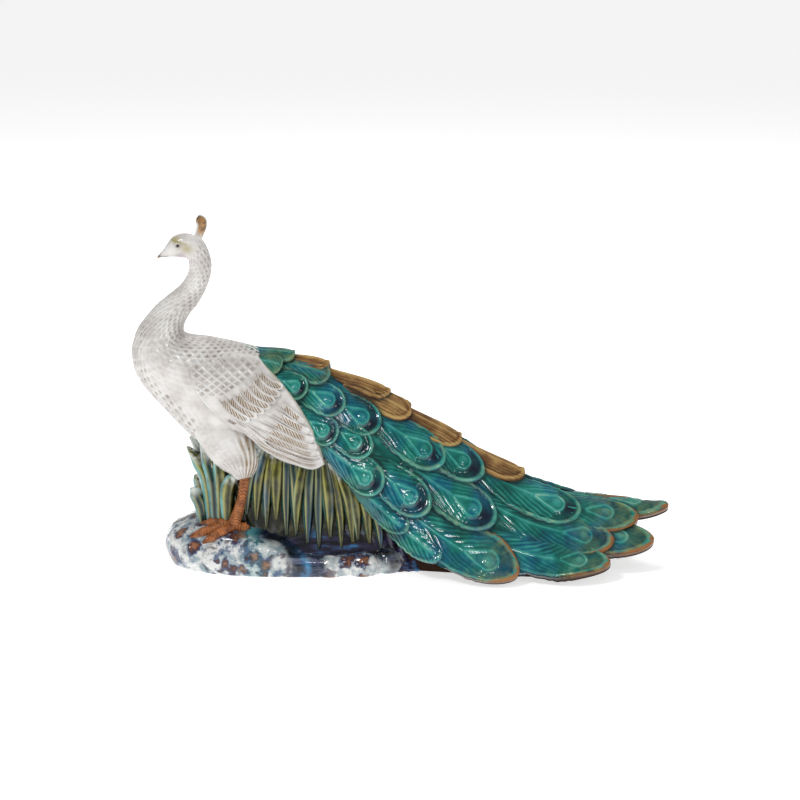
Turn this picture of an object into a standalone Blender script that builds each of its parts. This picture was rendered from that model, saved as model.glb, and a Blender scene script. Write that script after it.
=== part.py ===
"""Peacock figurine: bird, train, reeds and rock base cast as one piece.

Metres, +Z up. The beak points along -X and the train trails along +X. The figure stands on z = 0.
"""

import math

import bmesh
import bpy
import numpy as np

NODE = "peacock_figurine"

# Sizes of the whole figure
FIGURE_HEIGHT = 0.315
BODY_WIDTH = 0.079
TRAIN_LENGTH = 0.3685
TRAIN_WIDTH = 0.186

# Sizes of the rock base
BASE_LENGTH = 0.236
BASE_DEPTH = 0.121
POOL_HEIGHT = 0.017
MOUND_HEIGHT = 0.046
BOULDERS = 22
BOULDER_SIZE = 0.0115

# Sizes of the small forms
LEG_WIDTH = 0.0092
TOE_WIDTH = 0.0085
REED_WIDTH = 0.0105
FEATHER_LIFT = 0.0045
FEATHER_THICKNESS = 0.0055
FEATHER_SINK = 0.0045
SHELL_THICKNESS = 0.006
FLIGHT_WIDTH = 0.0074
COVERT_WIDTH = 0.0080
WING_FEATHER_DEPTH = 0.004

# Facets of the finished skin
SKIN_STEP = 0.00125
SKIN_TRIANGLES = 9600

# Depth of the forms below the ground before the foot is cut flat
FOOT_DEPTH = 0.006

# Profile of the bird from beak to rump, in shares of the height:
# back x, back z, front x, front z, and half width as a share of the body width
BODY_PROFILE = (
    ("beak tip", -0.6755, 0.8780, -0.6748, 0.8742, 0.016),
    ("beak root", -0.6530, 0.9044, -0.6524, 0.8768, 0.053),
    ("brow", -0.6302, 0.9343, -0.6273, 0.8771, 0.105),
    ("crown", -0.5920, 0.9438, -0.5984, 0.8740, 0.116),
    ("nape", -0.5524, 0.9270, -0.5889, 0.8667, 0.111),
    ("upper neck", -0.5308, 0.8794, -0.5863, 0.8540, 0.113),
    ("mid neck", -0.5283, 0.8381, -0.5892, 0.8333, 0.119),
    ("lower neck", -0.5422, 0.7917, -0.6111, 0.7987, 0.133),
    ("neck root", -0.5651, 0.7492, -0.6556, 0.7613, 0.165),
    ("shoulder", -0.5911, 0.7156, -0.6970, 0.7229, 0.223),
    ("upper breast", -0.6076, 0.6825, -0.7360, 0.6762, 0.289),
    ("breast", -0.6054, 0.6570, -0.7515, 0.6279, 0.361),
    ("lower breast", -0.5746, 0.6480, -0.7525, 0.5778, 0.416),
    ("wing root", -0.5305, 0.6440, -0.7320, 0.5219, 0.464),
    ("belly front", -0.4689, 0.6320, -0.6640, 0.4403, 0.500),
    ("belly", -0.4016, 0.6160, -0.5759, 0.3505, 0.494),
    ("belly back", -0.3232, 0.5950, -0.4549, 0.2914, 0.452),
    ("rump", -0.2308, 0.5759, -0.2902, 0.2943, 0.325),
)

# Crest centre line, in shares of the height: x, z, half width, half thickness
CREST_PROFILE = (
    (-0.5680, 0.9150, 0.0120, 0.0120),
    (-0.5600, 0.9330, 0.0115, 0.0105),
    (-0.5540, 0.9500, 0.0125, 0.0110),
    (-0.5500, 0.9673, 0.0145, 0.0140),
    (-0.5530, 0.9810, 0.0155, 0.0150),
    (-0.5650, 0.9875, 0.0110, 0.0110),
)

# Wing outline seen from the side, in shares of the height: x, half depth, z
WING_FRONT = ((-0.543, 0.057, 0.628), (-0.581, 0.120, 0.588), (-0.570, 0.134, 0.528), (-0.535, 0.138, 0.481),
              (-0.466, 0.141, 0.436))
WING_REAR = ((-0.396, 0.044, 0.608), (-0.355, 0.105, 0.571), (-0.301, 0.133, 0.515), (-0.263, 0.140, 0.456),
             (-0.230, 0.143, 0.388), (-0.209, 0.140, 0.315))
WING_TOP = ((-0.543, 0.057, 0.628), (-0.470, 0.050, 0.624), (-0.396, 0.044, 0.608))
WING_FOOT = ((-0.466, 0.140, 0.436), (-0.400, 0.143, 0.385), (-0.348, 0.144, 0.336), (-0.290, 0.145, 0.313),
             (-0.243, 0.144, 0.301), (-0.209, 0.140, 0.315))
WING_BULGE = 0.016
WING_INSET = 0.10
FLIGHT_FEATHERS = 7
COVERT_FEATHERS = 7

# Legs, in shares of the height: the far leg stands a little behind the near one
LEG_SPREAD = 0.130
LEG_FOOT_X = -0.467
LEG_KNEE_X = -0.430
LEG_KNEE_Z = 0.285
FAR_LEG_LAG = 0.03
WEB_INSET = 0.75
TOES = ((-0.124, 0.004), (-0.085, 0.044), (-0.095, -0.046), (0.045, -0.006))
# Thigh from the belly down: x, share of the knee's spread, z, half width, half depth
THIGH_PROFILE = ((-0.495, 0.25, 0.430, 0.100, 0.064), (-0.470, 0.58, 0.365, 0.084, 0.052),
                 (-0.442, 0.88, 0.308, 0.054, 0.037))

# Mass behind the reeds, in shares of the height; its plan is a rounded box
REED_MASS_HEIGHT = 0.40
REED_MASS_LEFT = -0.550
REED_MASS_RIGHT = 0.150
REED_MASS_RIGHT_DRAFT = 0.25
REED_MASS_DEPTH = 0.124
REED_MASS_DEPTH_DRAFT = 0.030
REED_MASS_POWER = 4.0
# Tufts of hanging reeds, in shares of the height: x of the first and last top, x of the first and
# last lower end, height of the tops, and the count
REED_TUFTS = (((-0.392, -0.300), (-0.432, -0.292), (0.365, 0.360), 6),
              ((-0.262, -0.180), (-0.292, -0.132), (0.350, 0.305), 6),
              ((-0.150, -0.030), (-0.118, 0.045), (0.290, 0.140), 6))
# Broad leaves that stand at the front, in shares of the height: x and z from root to tip, then how
# far they stand proud as a share of the half width, the half width, and the tip's share of it
REED_LEAVES = ((((-0.556, 0.100), (-0.563, 0.173), (-0.576, 0.205), (-0.583, 0.228)), 0.55, 0.0185, 0.5),
               (((-0.530, 0.100), (-0.543, 0.246), (-0.567, 0.300), (-0.600, 0.344)), 0.10, 0.0205, 0.15),
               (((-0.518, 0.100), (-0.525, 0.246), (-0.540, 0.305), (-0.556, 0.355)), 0.25, 0.0190, 0.4),
               (((-0.504, 0.100), (-0.504, 0.240), (-0.506, 0.292), (-0.514, 0.340)), 0.15, 0.0190, 0.4),
               (((-0.484, 0.100), (-0.486, 0.209), (-0.478, 0.250), (-0.462, 0.276)), 0.30, 0.0210, 0.5))

# Root of the train on the back, in shares of the height
RUMP_X = -0.4016
RUMP_Z = 0.6254

# Ridge of the train: x share of the train length, z share of the height of the rump
TRAIN_RIDGE = ((0.0, 1.0), (0.146, 0.925), (0.295, 0.80), (0.44, 0.628), (0.586, 0.455), (0.733, 0.325),
               (0.86, 0.275), (1.0, 0.255))
# Side edge of the train: x share, y share of half the train width, z share
TRAIN_EDGE = ((0.165, 0.473, 0.499), (0.217, 0.538, 0.378), (0.277, 0.613, 0.268), (0.348, 0.731, 0.160),
              (0.426, 0.86, 0.073), (0.52, 0.968, 0.03), (0.59, 1.0, 0.03), (0.628, 1.0, 0.05))
RIDGE_ROUNDING = 0.15
FLATTENING = 1.15
FIRST_ROOT = -0.03

# Train feathers of one side: place across (0 ridge, 1 edge) and along (0 root, 1 end) of the tip,
# then length and width as shares of the train length, and lift at the tip as a share of FEATHER_LIFT
TRAIN_FEATHERS = (
    (0.32, 1.00, 0.33, 0.118, 0.7),
    (0.00, 1.00, 0.34, 0.122, 1.0),
    (0.56, 0.97, 0.33, 0.120, 1.2),
    (0.16, 0.93, 0.33, 0.122, 1.5),
    (0.35, 0.90, 0.32, 0.128, 1.3),
    (0.73, 0.74, 0.32, 0.135, 1.3),
    (0.17, 0.78, 0.30, 0.128, 1.3),
    (0.87, 0.55, 0.24, 0.090, 0.5),
    (0.45, 0.60, 0.27, 0.122, 1.3),
    (0.03, 0.63, 0.24, 0.100, 1.3),
    (0.21, 0.54, 0.25, 0.115, 1.3),
    (0.86, 0.42, 0.20, 0.080, 0.5),
    (0.64, 0.45, 0.23, 0.105, 1.2),
    (0.07, 0.48, 0.20, 0.088, 1.3),
    (0.30, 0.45, 0.24, 0.112, 1.2),
    (0.12, 0.36, 0.18, 0.080, 1.2),
    (0.75, 0.31, 0.19, 0.092, 1.2),
    (0.37, 0.29, 0.20, 0.100, 1.2),
    (0.57, 0.27, 0.18, 0.085, 1.2),
    (0.02, 0.31, 0.17, 0.078, 1.3),
    (0.65, 0.16, 0.15, 0.078, 1.2),
    (0.39, 0.20, 0.17, 0.088, 1.2),
    (0.18, 0.17, 0.15, 0.078, 1.2),
    (0.02, 0.17, 0.14, 0.070, 1.3),
    (0.42, 0.10, 0.14, 0.072, 1.2),
    (0.06, 0.09, 0.12, 0.062, 1.2),
    (0.27, 0.05, 0.11, 0.058, 1.2),
)


def curve(rows, t):
    """Return points of a smooth curve through rows; t runs 0 to 1 and goes on straight outside."""
    rows = np.asarray(rows, float)
    last = len(rows) - 1
    t = np.asarray(t, float)
    held = np.clip(t, 0.0, 1.0)
    place = held * last
    i = np.minimum(place.astype(int), last - 1)
    f = (place - i)[..., None]
    ends = np.vstack([2 * rows[0] - rows[1], rows, 2 * rows[-1] - rows[-2]])
    p0, p1, p2, p3 = ends[i], ends[i + 1], ends[i + 2], ends[i + 3]
    square = f * f
    point = 0.5 * (2 * p1 + (p2 - p0) * f + (2 * p0 - 5 * p1 + 4 * p2 - p3) * square
                   + (3 * p1 - p0 - 3 * p2 + p3) * square * f)
    past = (t - held)[..., None]
    slope = np.where(past < 0, rows[1] - rows[0], rows[-1] - rows[-2]) * last
    return point + past * slope


def unit(vectors):
    """Return the vectors with length one."""
    length = np.linalg.norm(vectors, axis=-1, keepdims=True)
    return vectors / np.maximum(length, 1e-12)


def smooth(low, high, value):
    """Return 0 below low, 1 above high and an even blend between."""
    t = np.clip((value - low) / (high - low), 0.0, 1.0)
    return t * t * (3 - 2 * t)


class Shells:
    """Closed shells gathered before they are fused into one skin."""

    def __init__(self):
        self.points = []
        self.faces = []
        self.count = 0

    def add(self, points, faces):
        """Add one closed shell."""
        self.points.append(np.asarray(points, float))
        self.faces.extend(tuple(i + self.count for i in face) for face in faces)
        self.count += len(points)

    def add_loft(self, rings):
        """Add a tube through rings of equal length, closed at both ends."""
        rings = np.asarray(rings, float)
        rows, columns = rings.shape[:2]
        faces = []
        for i in range(rows - 1):
            for j in range(columns):
                k = (j + 1) % columns
                faces.append((i * columns + j, i * columns + k, (i + 1) * columns + k, (i + 1) * columns + j))
        faces.append(tuple(reversed(range(columns))))
        faces.append(tuple(range((rows - 1) * columns, rows * columns)))
        self.add(rings.reshape(-1, 3), faces)

    def add_plate(self, top, bottom):
        """Add a plate between two grids of points that match."""
        rows, columns = top.shape[:2]
        lower = rows * columns
        faces = []
        for i in range(rows - 1):
            for j in range(columns - 1):
                a = i * columns + j
                b = a + 1
                c = a + columns + 1
                d = a + columns
                faces.append((a, b, c, d))
                faces.append((lower + d, lower + c, lower + b, lower + a))
        border = [(0, j) for j in range(columns)]
        border += [(i, columns - 1) for i in range(1, rows)]
        border += [(rows - 1, j) for j in range(columns - 2, -1, -1)]
        border += [(i, 0) for i in range(rows - 2, 0, -1)]
        loop = [i * columns + j for i, j in border]
        for here, there in zip(loop, loop[1:] + loop[:1]):
            faces.append((there, here, lower + here, lower + there))
        points = np.concatenate([top.reshape(-1, 3), bottom.reshape(-1, 3)])
        self.add(points, faces)

    def mesh(self, name):
        """Return the gathered shells as one mesh."""
        mesh = bpy.data.meshes.new(name)
        mesh.from_pydata(np.concatenate(self.points).tolist(), [], self.faces)
        mesh.update()
        return mesh


def tube_rings(centres, side, across, half_across, half_side, sides=12, roundness=2.0):
    """Return rings about a centre line, flattened between two directions."""
    turn = np.linspace(0, 2 * math.pi, sides, endpoint=False)
    c = np.sign(np.cos(turn)) * np.abs(np.cos(turn)) ** (2 / roundness)
    s = np.sign(np.sin(turn)) * np.abs(np.sin(turn)) ** (2 / roundness)
    a = (half_across[:, None] * c[None, :])[..., None] * across[:, None, :]
    b = (half_side[:, None] * s[None, :])[..., None] * side[:, None, :]
    return centres[:, None, :] + a + b


def add_spindle(shells, path, widths, depths, side, sides=10, steps=14):
    """Add a tapering limb along a path; side is the direction of its width."""
    t = np.linspace(0, 1, steps)
    centres = curve(path, t)
    width = curve(np.asarray(widths, float)[:, None], t)[:, 0]
    depth = curve(np.asarray(depths, float)[:, None], t)[:, 0]
    along = unit(np.gradient(centres, axis=0))
    first = np.broadcast_to(np.asarray(side, float), centres.shape)
    first = unit(first - along * np.sum(first * along, axis=1, keepdims=True))
    second = np.cross(along, first)
    rings = tube_rings(centres, second, first, np.maximum(width, 2e-4), np.maximum(depth, 2e-4), sides)
    shells.add_loft(rings)


def add_blob(shells, centre, radii, steps=8, sides=14):
    """Add a rounded boulder."""
    lat = np.linspace(-0.49 * math.pi, 0.49 * math.pi, steps)
    lon = np.linspace(0, 2 * math.pi, sides, endpoint=False)
    x = np.cos(lat)[:, None] * np.cos(lon)[None, :]
    y = np.cos(lat)[:, None] * np.sin(lon)[None, :]
    z = np.sin(lat)[:, None] * np.ones(sides)[None, :]
    rings = np.stack([x, y, z], -1) * np.asarray(radii) + np.asarray(centre)
    shells.add_loft(rings)


def train_surface(a, r):
    """Return points of the smooth train: a runs -1 to 1 across, r runs 0 to 1 along."""
    a, r = np.broadcast_arrays(np.asarray(a, float), np.asarray(r, float))
    held = np.clip(a, -1.0, 1.0)
    step = 0.02
    point = train_point(held, r)
    inner = train_point(held - np.sign(a) * step, r)
    return point + (point - inner) * ((np.abs(a - held) / step)[..., None])


def train_point(a, r):
    """Return points of the train for a between -1 and 1."""
    ridge = curve(TRAIN_RIDGE, r)
    edge = curve(TRAIN_EDGE, r)
    turn = np.abs(a) * math.pi / 2
    wide = np.sin(turn)
    drop = 1 - np.cos(turn)
    k = RIDGE_ROUNDING
    tent = 1 - (np.sqrt(wide * wide + k * k) - k) / (math.sqrt(1 + k * k) - k)
    flat = np.clip(r * FLATTENING, 0, 1)
    rise = (1 - flat) * np.cos(turn) + flat * tent
    x = FIGURE_HEIGHT * RUMP_X + TRAIN_LENGTH * (ridge[..., 0] + (edge[..., 0] - ridge[..., 0]) * drop)
    z = FIGURE_HEIGHT * RUMP_Z * (edge[..., 2] + (ridge[..., 1] - edge[..., 2]) * rise)
    y = np.sign(a) * edge[..., 1] * TRAIN_WIDTH / 2 * wide
    return np.stack([x, y, z], -1)


def wing_surface(side):
    """Return a function of the wing skin: u from front to rear, v from top to foot."""
    def surface(u, v):
        u, v = np.broadcast_arrays(np.asarray(u, float), np.asarray(v, float))
        top = curve(WING_TOP, u)
        foot = curve(WING_FOOT, u)
        front = curve(WING_FRONT, v)
        rear = curve(WING_REAR, v)
        c00, c01 = np.asarray(WING_TOP[0]), np.asarray(WING_FOOT[0])
        c10, c11 = np.asarray(WING_TOP[-1]), np.asarray(WING_FOOT[-1])
        p, q = u[..., None], v[..., None]
        point = ((1 - q) * top + q * foot + (1 - p) * front + p * rear
                 - (1 - p) * (1 - q) * c00 - (1 - p) * q * c01 - p * (1 - q) * c10 - p * q * c11)
        bulge = WING_BULGE * 16 * np.clip(u * (1 - u), 0, 1) * np.clip(v * (1 - v), 0, 1)
        return np.stack([point[..., 0], -side * (point[..., 1] + bulge), point[..., 2]], -1) * FIGURE_HEIGHT
    return surface


def normals(surface, a, r, outward):
    """Return the outward normals of a surface."""
    step = 1e-3
    da = surface(a + step, r) - surface(a - step, r)
    dr = surface(a, r + step) - surface(a, r - step)
    return unit(np.cross(dr, da)) * outward


def feather_outline(s, shoulder=0.68, root=0.42):
    """Return the half width of a feather as a share: narrow root, wide eye, round tip."""
    rising = root + (1 - root) * np.sin(np.clip(s / shoulder, 0, 1) * math.pi / 2)
    falling = np.sqrt(np.clip(1 - ((s - shoulder) / (1 - shoulder)) ** 2, 0, 1))
    return np.where(s < shoulder, rising, falling)


def feather_relief(s, t, width, eye):
    """Return the carved height of a feather above its plate."""
    crown = 0.05 * width * (1 - t * t)
    rim = 0.03 * width * np.exp(-((np.abs(t) - 0.80) / 0.14) ** 2) * smooth(0.1, 0.4, s)
    shaft = 0.05 * width * np.exp(-(t / 0.16) ** 2) * (1 - smooth(0.45, 0.6, s))
    reach = np.sqrt((t / 0.50) ** 2 + ((s - 0.70) / 0.17) ** 2)
    boss = 0.07 * width * (1 - smooth(0.25, 0.75, reach)) - 0.035 * width * np.exp(-((reach - 1.0) / 0.22) ** 2)
    return crown + rim + shaft + eye * boss


def add_feather(shells, surface, tip, length, width, lift, depth, sink):
    """Add one feather laid on a surface, from its tip back along the train."""
    tip_a, tip_r = tip
    step = 0.01
    here = surface(tip_a, tip_r - step)
    pace = np.linalg.norm(surface(tip_a, tip_r - 2 * step) - here) / step
    root_r = tip_r - length / pace
    for _ in range(3):
        trial = np.linspace(root_r, tip_r, 40)
        span = surface(np.full(40, tip_a), trial)
        reached = np.sum(np.linalg.norm(np.diff(span, axis=0), axis=1))
        root_r = tip_r - (tip_r - root_r) * length / reached
    root_r = max(root_r, FIRST_ROOT)
    s = 1 - (1 - np.linspace(0, 1, 18)) ** 1.25
    r = root_r + (tip_r - root_r) * s
    a = np.full_like(r, tip_a)
    add_leaf(shells, surface, a, r, s, width, lift, depth, 1.0, 1.0, 10, sink)


def add_leaf(shells, surface, a, r, s, width, lift, depth, outward, eye, columns, sink=0.0):
    """Add a leaf along a line of places (a, r) on a surface."""
    step = 1e-3
    da = (surface(a + step, r) - surface(a - step, r)) / (2 * step)
    dr = (surface(a, r + step) - surface(a, r - step)) / (2 * step)
    centre = surface(a, r)
    along = unit(np.gradient(centre, axis=0))
    normal = unit(np.cross(dr, da)) * outward
    aside = np.cross(normal, along)
    aa = np.sum(da * da, -1)
    ar = np.sum(da * dr, -1)
    rr = np.sum(dr * dr, -1)
    sa = np.sum(da * aside, -1)
    sr = np.sum(dr * aside, -1)
    det = np.maximum(aa * rr - ar * ar, 1e-12)
    ua = (sa * rr - sr * ar) / det
    ur = (sr * aa - sa * ar) / det
    half = np.maximum(width / 2 * feather_outline(s), 0.04 * width)
    t = np.linspace(-1, 1, columns + 1)
    shift = half[:, None] * t[None, :]
    grid_a = a[:, None] + ua[:, None] * shift
    grid_r = r[:, None] + ur[:, None] * shift
    ss = np.broadcast_to(s[:, None], shift.shape)
    tt = np.broadcast_to(t[None, :], shift.shape)
    base = surface(grid_a, grid_r)
    out = normals(surface, grid_a, grid_r, outward)
    height = lift * smooth(0.0, 0.9, ss) + feather_relief(ss, tt, width, eye) - sink
    top = base + out * height[..., None]
    bottom = base + out * (np.minimum(height, lift * ss - sink) - depth)[..., None]
    if outward < 0:
        top, bottom = bottom, top
    shells.add_plate(top, bottom)


def add_bird(shells):
    """Add head, neck, breast and belly as one loft, and the crest."""
    rows = np.array([row[1:] for row in BODY_PROFILE])
    t = np.linspace(0, 1, 90)
    points = curve(rows, t)
    back = np.stack([points[:, 0], 0 * t, points[:, 1]], -1) * FIGURE_HEIGHT
    front = np.stack([points[:, 2], 0 * t, points[:, 3]], -1) * FIGURE_HEIGHT
    half = points[:, 4] * BODY_WIDTH
    centres = (back + front) / 2
    up = unit(back - front)
    tall = np.linalg.norm(back - front, axis=1) / 2
    side = np.broadcast_to(np.array([0.0, 1.0, 0.0]), up.shape)
    shells.add_loft(tube_rings(centres, side, up, tall, np.maximum(half, 0.0012), sides=28))
    crest = np.array(CREST_PROFILE) * FIGURE_HEIGHT
    t = np.linspace(0, 1, 14)
    points = curve(crest, t)
    centres = np.stack([points[:, 0], 0 * t, points[:, 1]], -1)
    along = unit(np.gradient(centres, axis=0))
    side = np.broadcast_to(np.array([0.0, 1.0, 0.0]), along.shape)
    shells.add_loft(tube_rings(centres, side, np.cross(along, side), points[:, 2], points[:, 3], sides=12))


def add_wing(shells, side):
    """Add one folded wing with its coverts and long flight feathers."""
    surface = wing_surface(side)
    u, v = np.meshgrid(np.linspace(0, 1, 15), np.linspace(0, 1, 13), indexing="ij")
    skin = surface(u, v)
    inner = skin.copy()
    inner[..., 1] += side * WING_INSET * FIGURE_HEIGHT
    inner[..., 1] = np.where(side * inner[..., 1] > 0, 0, inner[..., 1])
    if side > 0:
        shells.add_plate(inner, skin)
    else:
        shells.add_plate(skin, inner)
    for n in range(FLIGHT_FEATHERS):
        share = n / (FLIGHT_FEATHERS - 1)
        s = np.linspace(0, 1, 16)
        a = 0.10 + 0.73 * share + (0.89 - 0.77 * share) * s
        r = 0.84 - 0.40 * share + (0.125 + 0.40 * share - 0.32 * share ** 1.5) * s + 0.015 * np.sin(s * math.pi)
        lift = (0.22 + 0.18 * share) * FEATHER_LIFT
        add_leaf(shells, surface, a, r, s, FLIGHT_WIDTH, lift, WING_FEATHER_DEPTH, side, 0.0, 6)
    for n in range(COVERT_FEATHERS):
        share = n / (COVERT_FEATHERS - 1)
        s = np.linspace(0, 1, 10)
        swell = np.sin(s * math.pi)
        a = 0.25 + 0.59 * share + (0.20 - 0.06 * share) * s - 0.055 * swell
        r = 0.455 - 0.29 * share + 0.165 * s + 0.03 * swell
        add_leaf(shells, surface, a, r, s, COVERT_WIDTH, 0.55 * FEATHER_LIFT, WING_FEATHER_DEPTH, side, 0.0, 6)


def add_train(shells):
    """Add the body of the train and the feathers that lie on it in rows."""
    a, r = np.meshgrid(np.linspace(-0.94, 0.94, 31), np.linspace(-0.06, 0.90, 31), indexing="ij")
    a = a * (1 - 0.42 * smooth(0.55, 0.90, r))
    skin = train_surface(a, r)
    out = normals(train_surface, a, r, 1.0)
    shells.add_plate(skin - out * FEATHER_SINK, skin - out * (FEATHER_SINK + SHELL_THICKNESS))
    a, r = np.meshgrid(np.linspace(-0.52, 0.52, 15), np.linspace(-0.02, 0.84, 21), indexing="ij")
    skin = train_surface(a, r)
    out = normals(train_surface, a, r, 1.0)
    top = skin - out * (FEATHER_SINK + 0.001)
    top[..., 1] *= 0.92
    foot = top.copy()
    foot[..., 2] = -FOOT_DEPTH
    shells.add_plate(top, foot)
    for across, along, length, width, lift in TRAIN_FEATHERS:
        sides = (-1, 1) if across > 0 else (1,)
        for side in sides:
            add_feather(shells, train_surface, (side * across, along), length * TRAIN_LENGTH, width * TRAIN_LENGTH,
                        lift * FEATHER_LIFT, FEATHER_THICKNESS, FEATHER_SINK)


def base_height(x, y):
    """Return the height of the rocks and pool under a place."""
    cx = -0.467 * FIGURE_HEIGHT
    rx = 0.31 * BASE_LENGTH
    ry = 0.62 * BASE_DEPTH
    reach = ((x - cx) / rx) ** 2 + (y / ry) ** 2
    mound = MOUND_HEIGHT * np.sqrt(np.clip(1 - reach, 0, 1))
    return np.sqrt(mound ** 2 + POOL_HEIGHT ** 2 * smooth(0.3, 1.0, reach))


def add_base(shells):
    """Add the rock base with its mound, boulders and pool."""
    cx = -0.298 * FIGURE_HEIGHT
    sides = 64
    turn = np.linspace(0, 2 * math.pi, sides, endpoint=False)
    power = 2 / 2.4
    ox = BASE_LENGTH / 2 * np.sign(np.cos(turn)) * np.abs(np.cos(turn)) ** power
    oy = BASE_DEPTH / 2 * np.sign(np.sin(turn)) * np.abs(np.sin(turn)) ** power
    rings = []
    for share, part in ((0.955, None), (0.955, 0.0), (0.985, 0.25), (1.0, 0.5), (0.985, 0.78), (0.955, 0.93)):
        x = cx + ox * share
        y = oy * share
        z = np.full(sides, -FOOT_DEPTH) if part is None else part * base_height(cx + ox * 0.93, oy * 0.93)
        rings.append(np.stack([x, y, z], -1))
    for share in (0.90, 0.80, 0.68, 0.54, 0.38, 0.22, 0.08, 0.01):
        x = cx + ox * share
        y = oy * share
        rings.append(np.stack([x, y, base_height(x, y)], -1))
    shells.add_loft(rings)
    for n in range(BOULDERS):
        turn = 2 * math.pi * (n + 0.35) / BOULDERS
        c = math.cos(turn)
        q = math.sin(turn)
        x = cx + BASE_LENGTH / 2 * 0.90 * math.copysign(abs(c) ** power, c)
        y = BASE_DEPTH / 2 * 0.88 * math.copysign(abs(q) ** power, q)
        gully = abs(x + 0.265 * FIGURE_HEIGHT) < 0.055 * FIGURE_HEIGHT
        if gully or x > 0.08 * FIGURE_HEIGHT:
            continue
        size = BOULDER_SIZE * (1 + 0.17 * math.sin(5.0 * n))
        z = 0.42 * float(base_height(np.float64(x), np.float64(y)))
        add_blob(shells, (x, y, z), (size * 1.2, size * 0.9, size))


def add_legs(shells):
    """Add thighs, legs and toes of both sides, and the web that joins each leg to the reeds."""
    h = FIGURE_HEIGHT
    for side, lag in ((-1, 0.0), (1, FAR_LEG_LAG)):
        y = side * LEG_SPREAD * h
        ankle = np.array([(LEG_FOOT_X + lag) * h, y, 0.0])
        ankle[2] = float(base_height(ankle[0], ankle[1])) + 0.55 * LEG_WIDTH
        knee = np.array([(LEG_KNEE_X + lag) * h, 0.95 * y, LEG_KNEE_Z * h])
        low = knee + (ankle - knee) * 0.10
        path = [((x + lag) * h, 0.95 * y * spread, z * h) for x, spread, z, _, _ in THIGH_PROFILE]
        path.append(tuple(low))
        widths = [wide * h for _, _, _, wide, _ in THIGH_PROFILE] + [0.020 * h]
        depths = [deep * h for _, _, _, _, deep in THIGH_PROFILE] + [0.019 * h]
        add_spindle(shells, path, widths, depths, (1, 0, 0), sides=16, steps=18)
        thick = np.array((0.50, 0.47, 0.62)) * LEG_WIDTH
        middle = (knee + ankle) / 2 + np.array([0.16 * LEG_WIDTH, 0, 0])
        top = knee + np.array([0, 0, 0.65 * LEG_WIDTH])
        add_spindle(shells, (top, middle, ankle), thick, thick, (1, 0, 0), sides=10)
        inner = np.array([1.0, WEB_INSET, 1.0])
        root = ankle - np.array([0, 0, LEG_WIDTH])
        web = (top * inner, middle * inner, root * inner)
        add_spindle(shells, web, 0.32 * LEG_WIDTH * np.ones(3), 0.30 * abs(y) * np.ones(3), (1, 0, 0), sides=10)
        for dx, dy in TOES:
            tip = np.array([ankle[0] + dx * h, y + side * dy * h, 0.0])
            places = []
            for share in (0.0, 0.35, 0.7, 1.0):
                spot = ankle + (tip - ankle) * share
                rise = float(base_height(spot[0], spot[1])) + TOE_WIDTH * (0.44 - 0.28 * share)
                places.append((spot[0], spot[1], rise))
            add_spindle(shells, places, np.array((0.5, 0.5, 0.48, 0.14)) * TOE_WIDTH,
                        np.array((0.5, 0.48, 0.42, 0.14)) * TOE_WIDTH, (0, 0, 1), sides=8, steps=9)


def reed_mass(z):
    """Return the middle, half length and half depth of the mass behind the reeds at a height."""
    share = z / (REED_MASS_HEIGHT * FIGURE_HEIGHT)
    left = REED_MASS_LEFT
    right = REED_MASS_RIGHT - REED_MASS_RIGHT_DRAFT * share
    deep = REED_MASS_DEPTH - REED_MASS_DEPTH_DRAFT * share
    return (left + right) / 2 * FIGURE_HEIGHT, (right - left) / 2 * FIGURE_HEIGHT, deep * FIGURE_HEIGHT


def reed_face(x, z):
    """Return how far out the mass behind the reeds reaches at a place."""
    middle, reach, deep = reed_mass(z)
    off = min(abs(x - middle) / reach, 0.985)
    return deep * (1 - off ** REED_MASS_POWER) ** (1 / REED_MASS_POWER)


def add_reeds(shells):
    """Add the reeds and the mass behind them that carries the belly and the train."""
    h = FIGURE_HEIGHT
    sides = 48
    turn = np.linspace(0, 2 * math.pi, sides, endpoint=False)
    c = np.sign(np.cos(turn)) * np.abs(np.cos(turn)) ** (2 / REED_MASS_POWER)
    s = np.sign(np.sin(turn)) * np.abs(np.sin(turn)) ** (2 / REED_MASS_POWER)
    rings = []
    for share in np.linspace(0, 1, 12):
        z = -FOOT_DEPTH + (REED_MASS_HEIGHT * h + FOOT_DEPTH) * share
        middle, reach, deep = reed_mass(z)
        rings.append(np.stack([middle + reach * c, deep * s, np.full(sides, z)], -1))
    shells.add_loft(rings)
    for side in (-1, 1):
        for tuft in REED_TUFTS:
            add_tuft(shells, tuft, side)
        for places, proud, half, blunt in REED_LEAVES:
            w = half * h
            path = [(x * h, side * (reed_face(x * h, z * h) + proud * w), z * h) for x, z in places]
            add_spindle(shells, path, (0.60 * w, w, w, blunt * w), (0.6 * w, 0.8 * w, 0.7 * w, 0.3 * w), (1, 0, 0),
                        sides=8)


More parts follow.
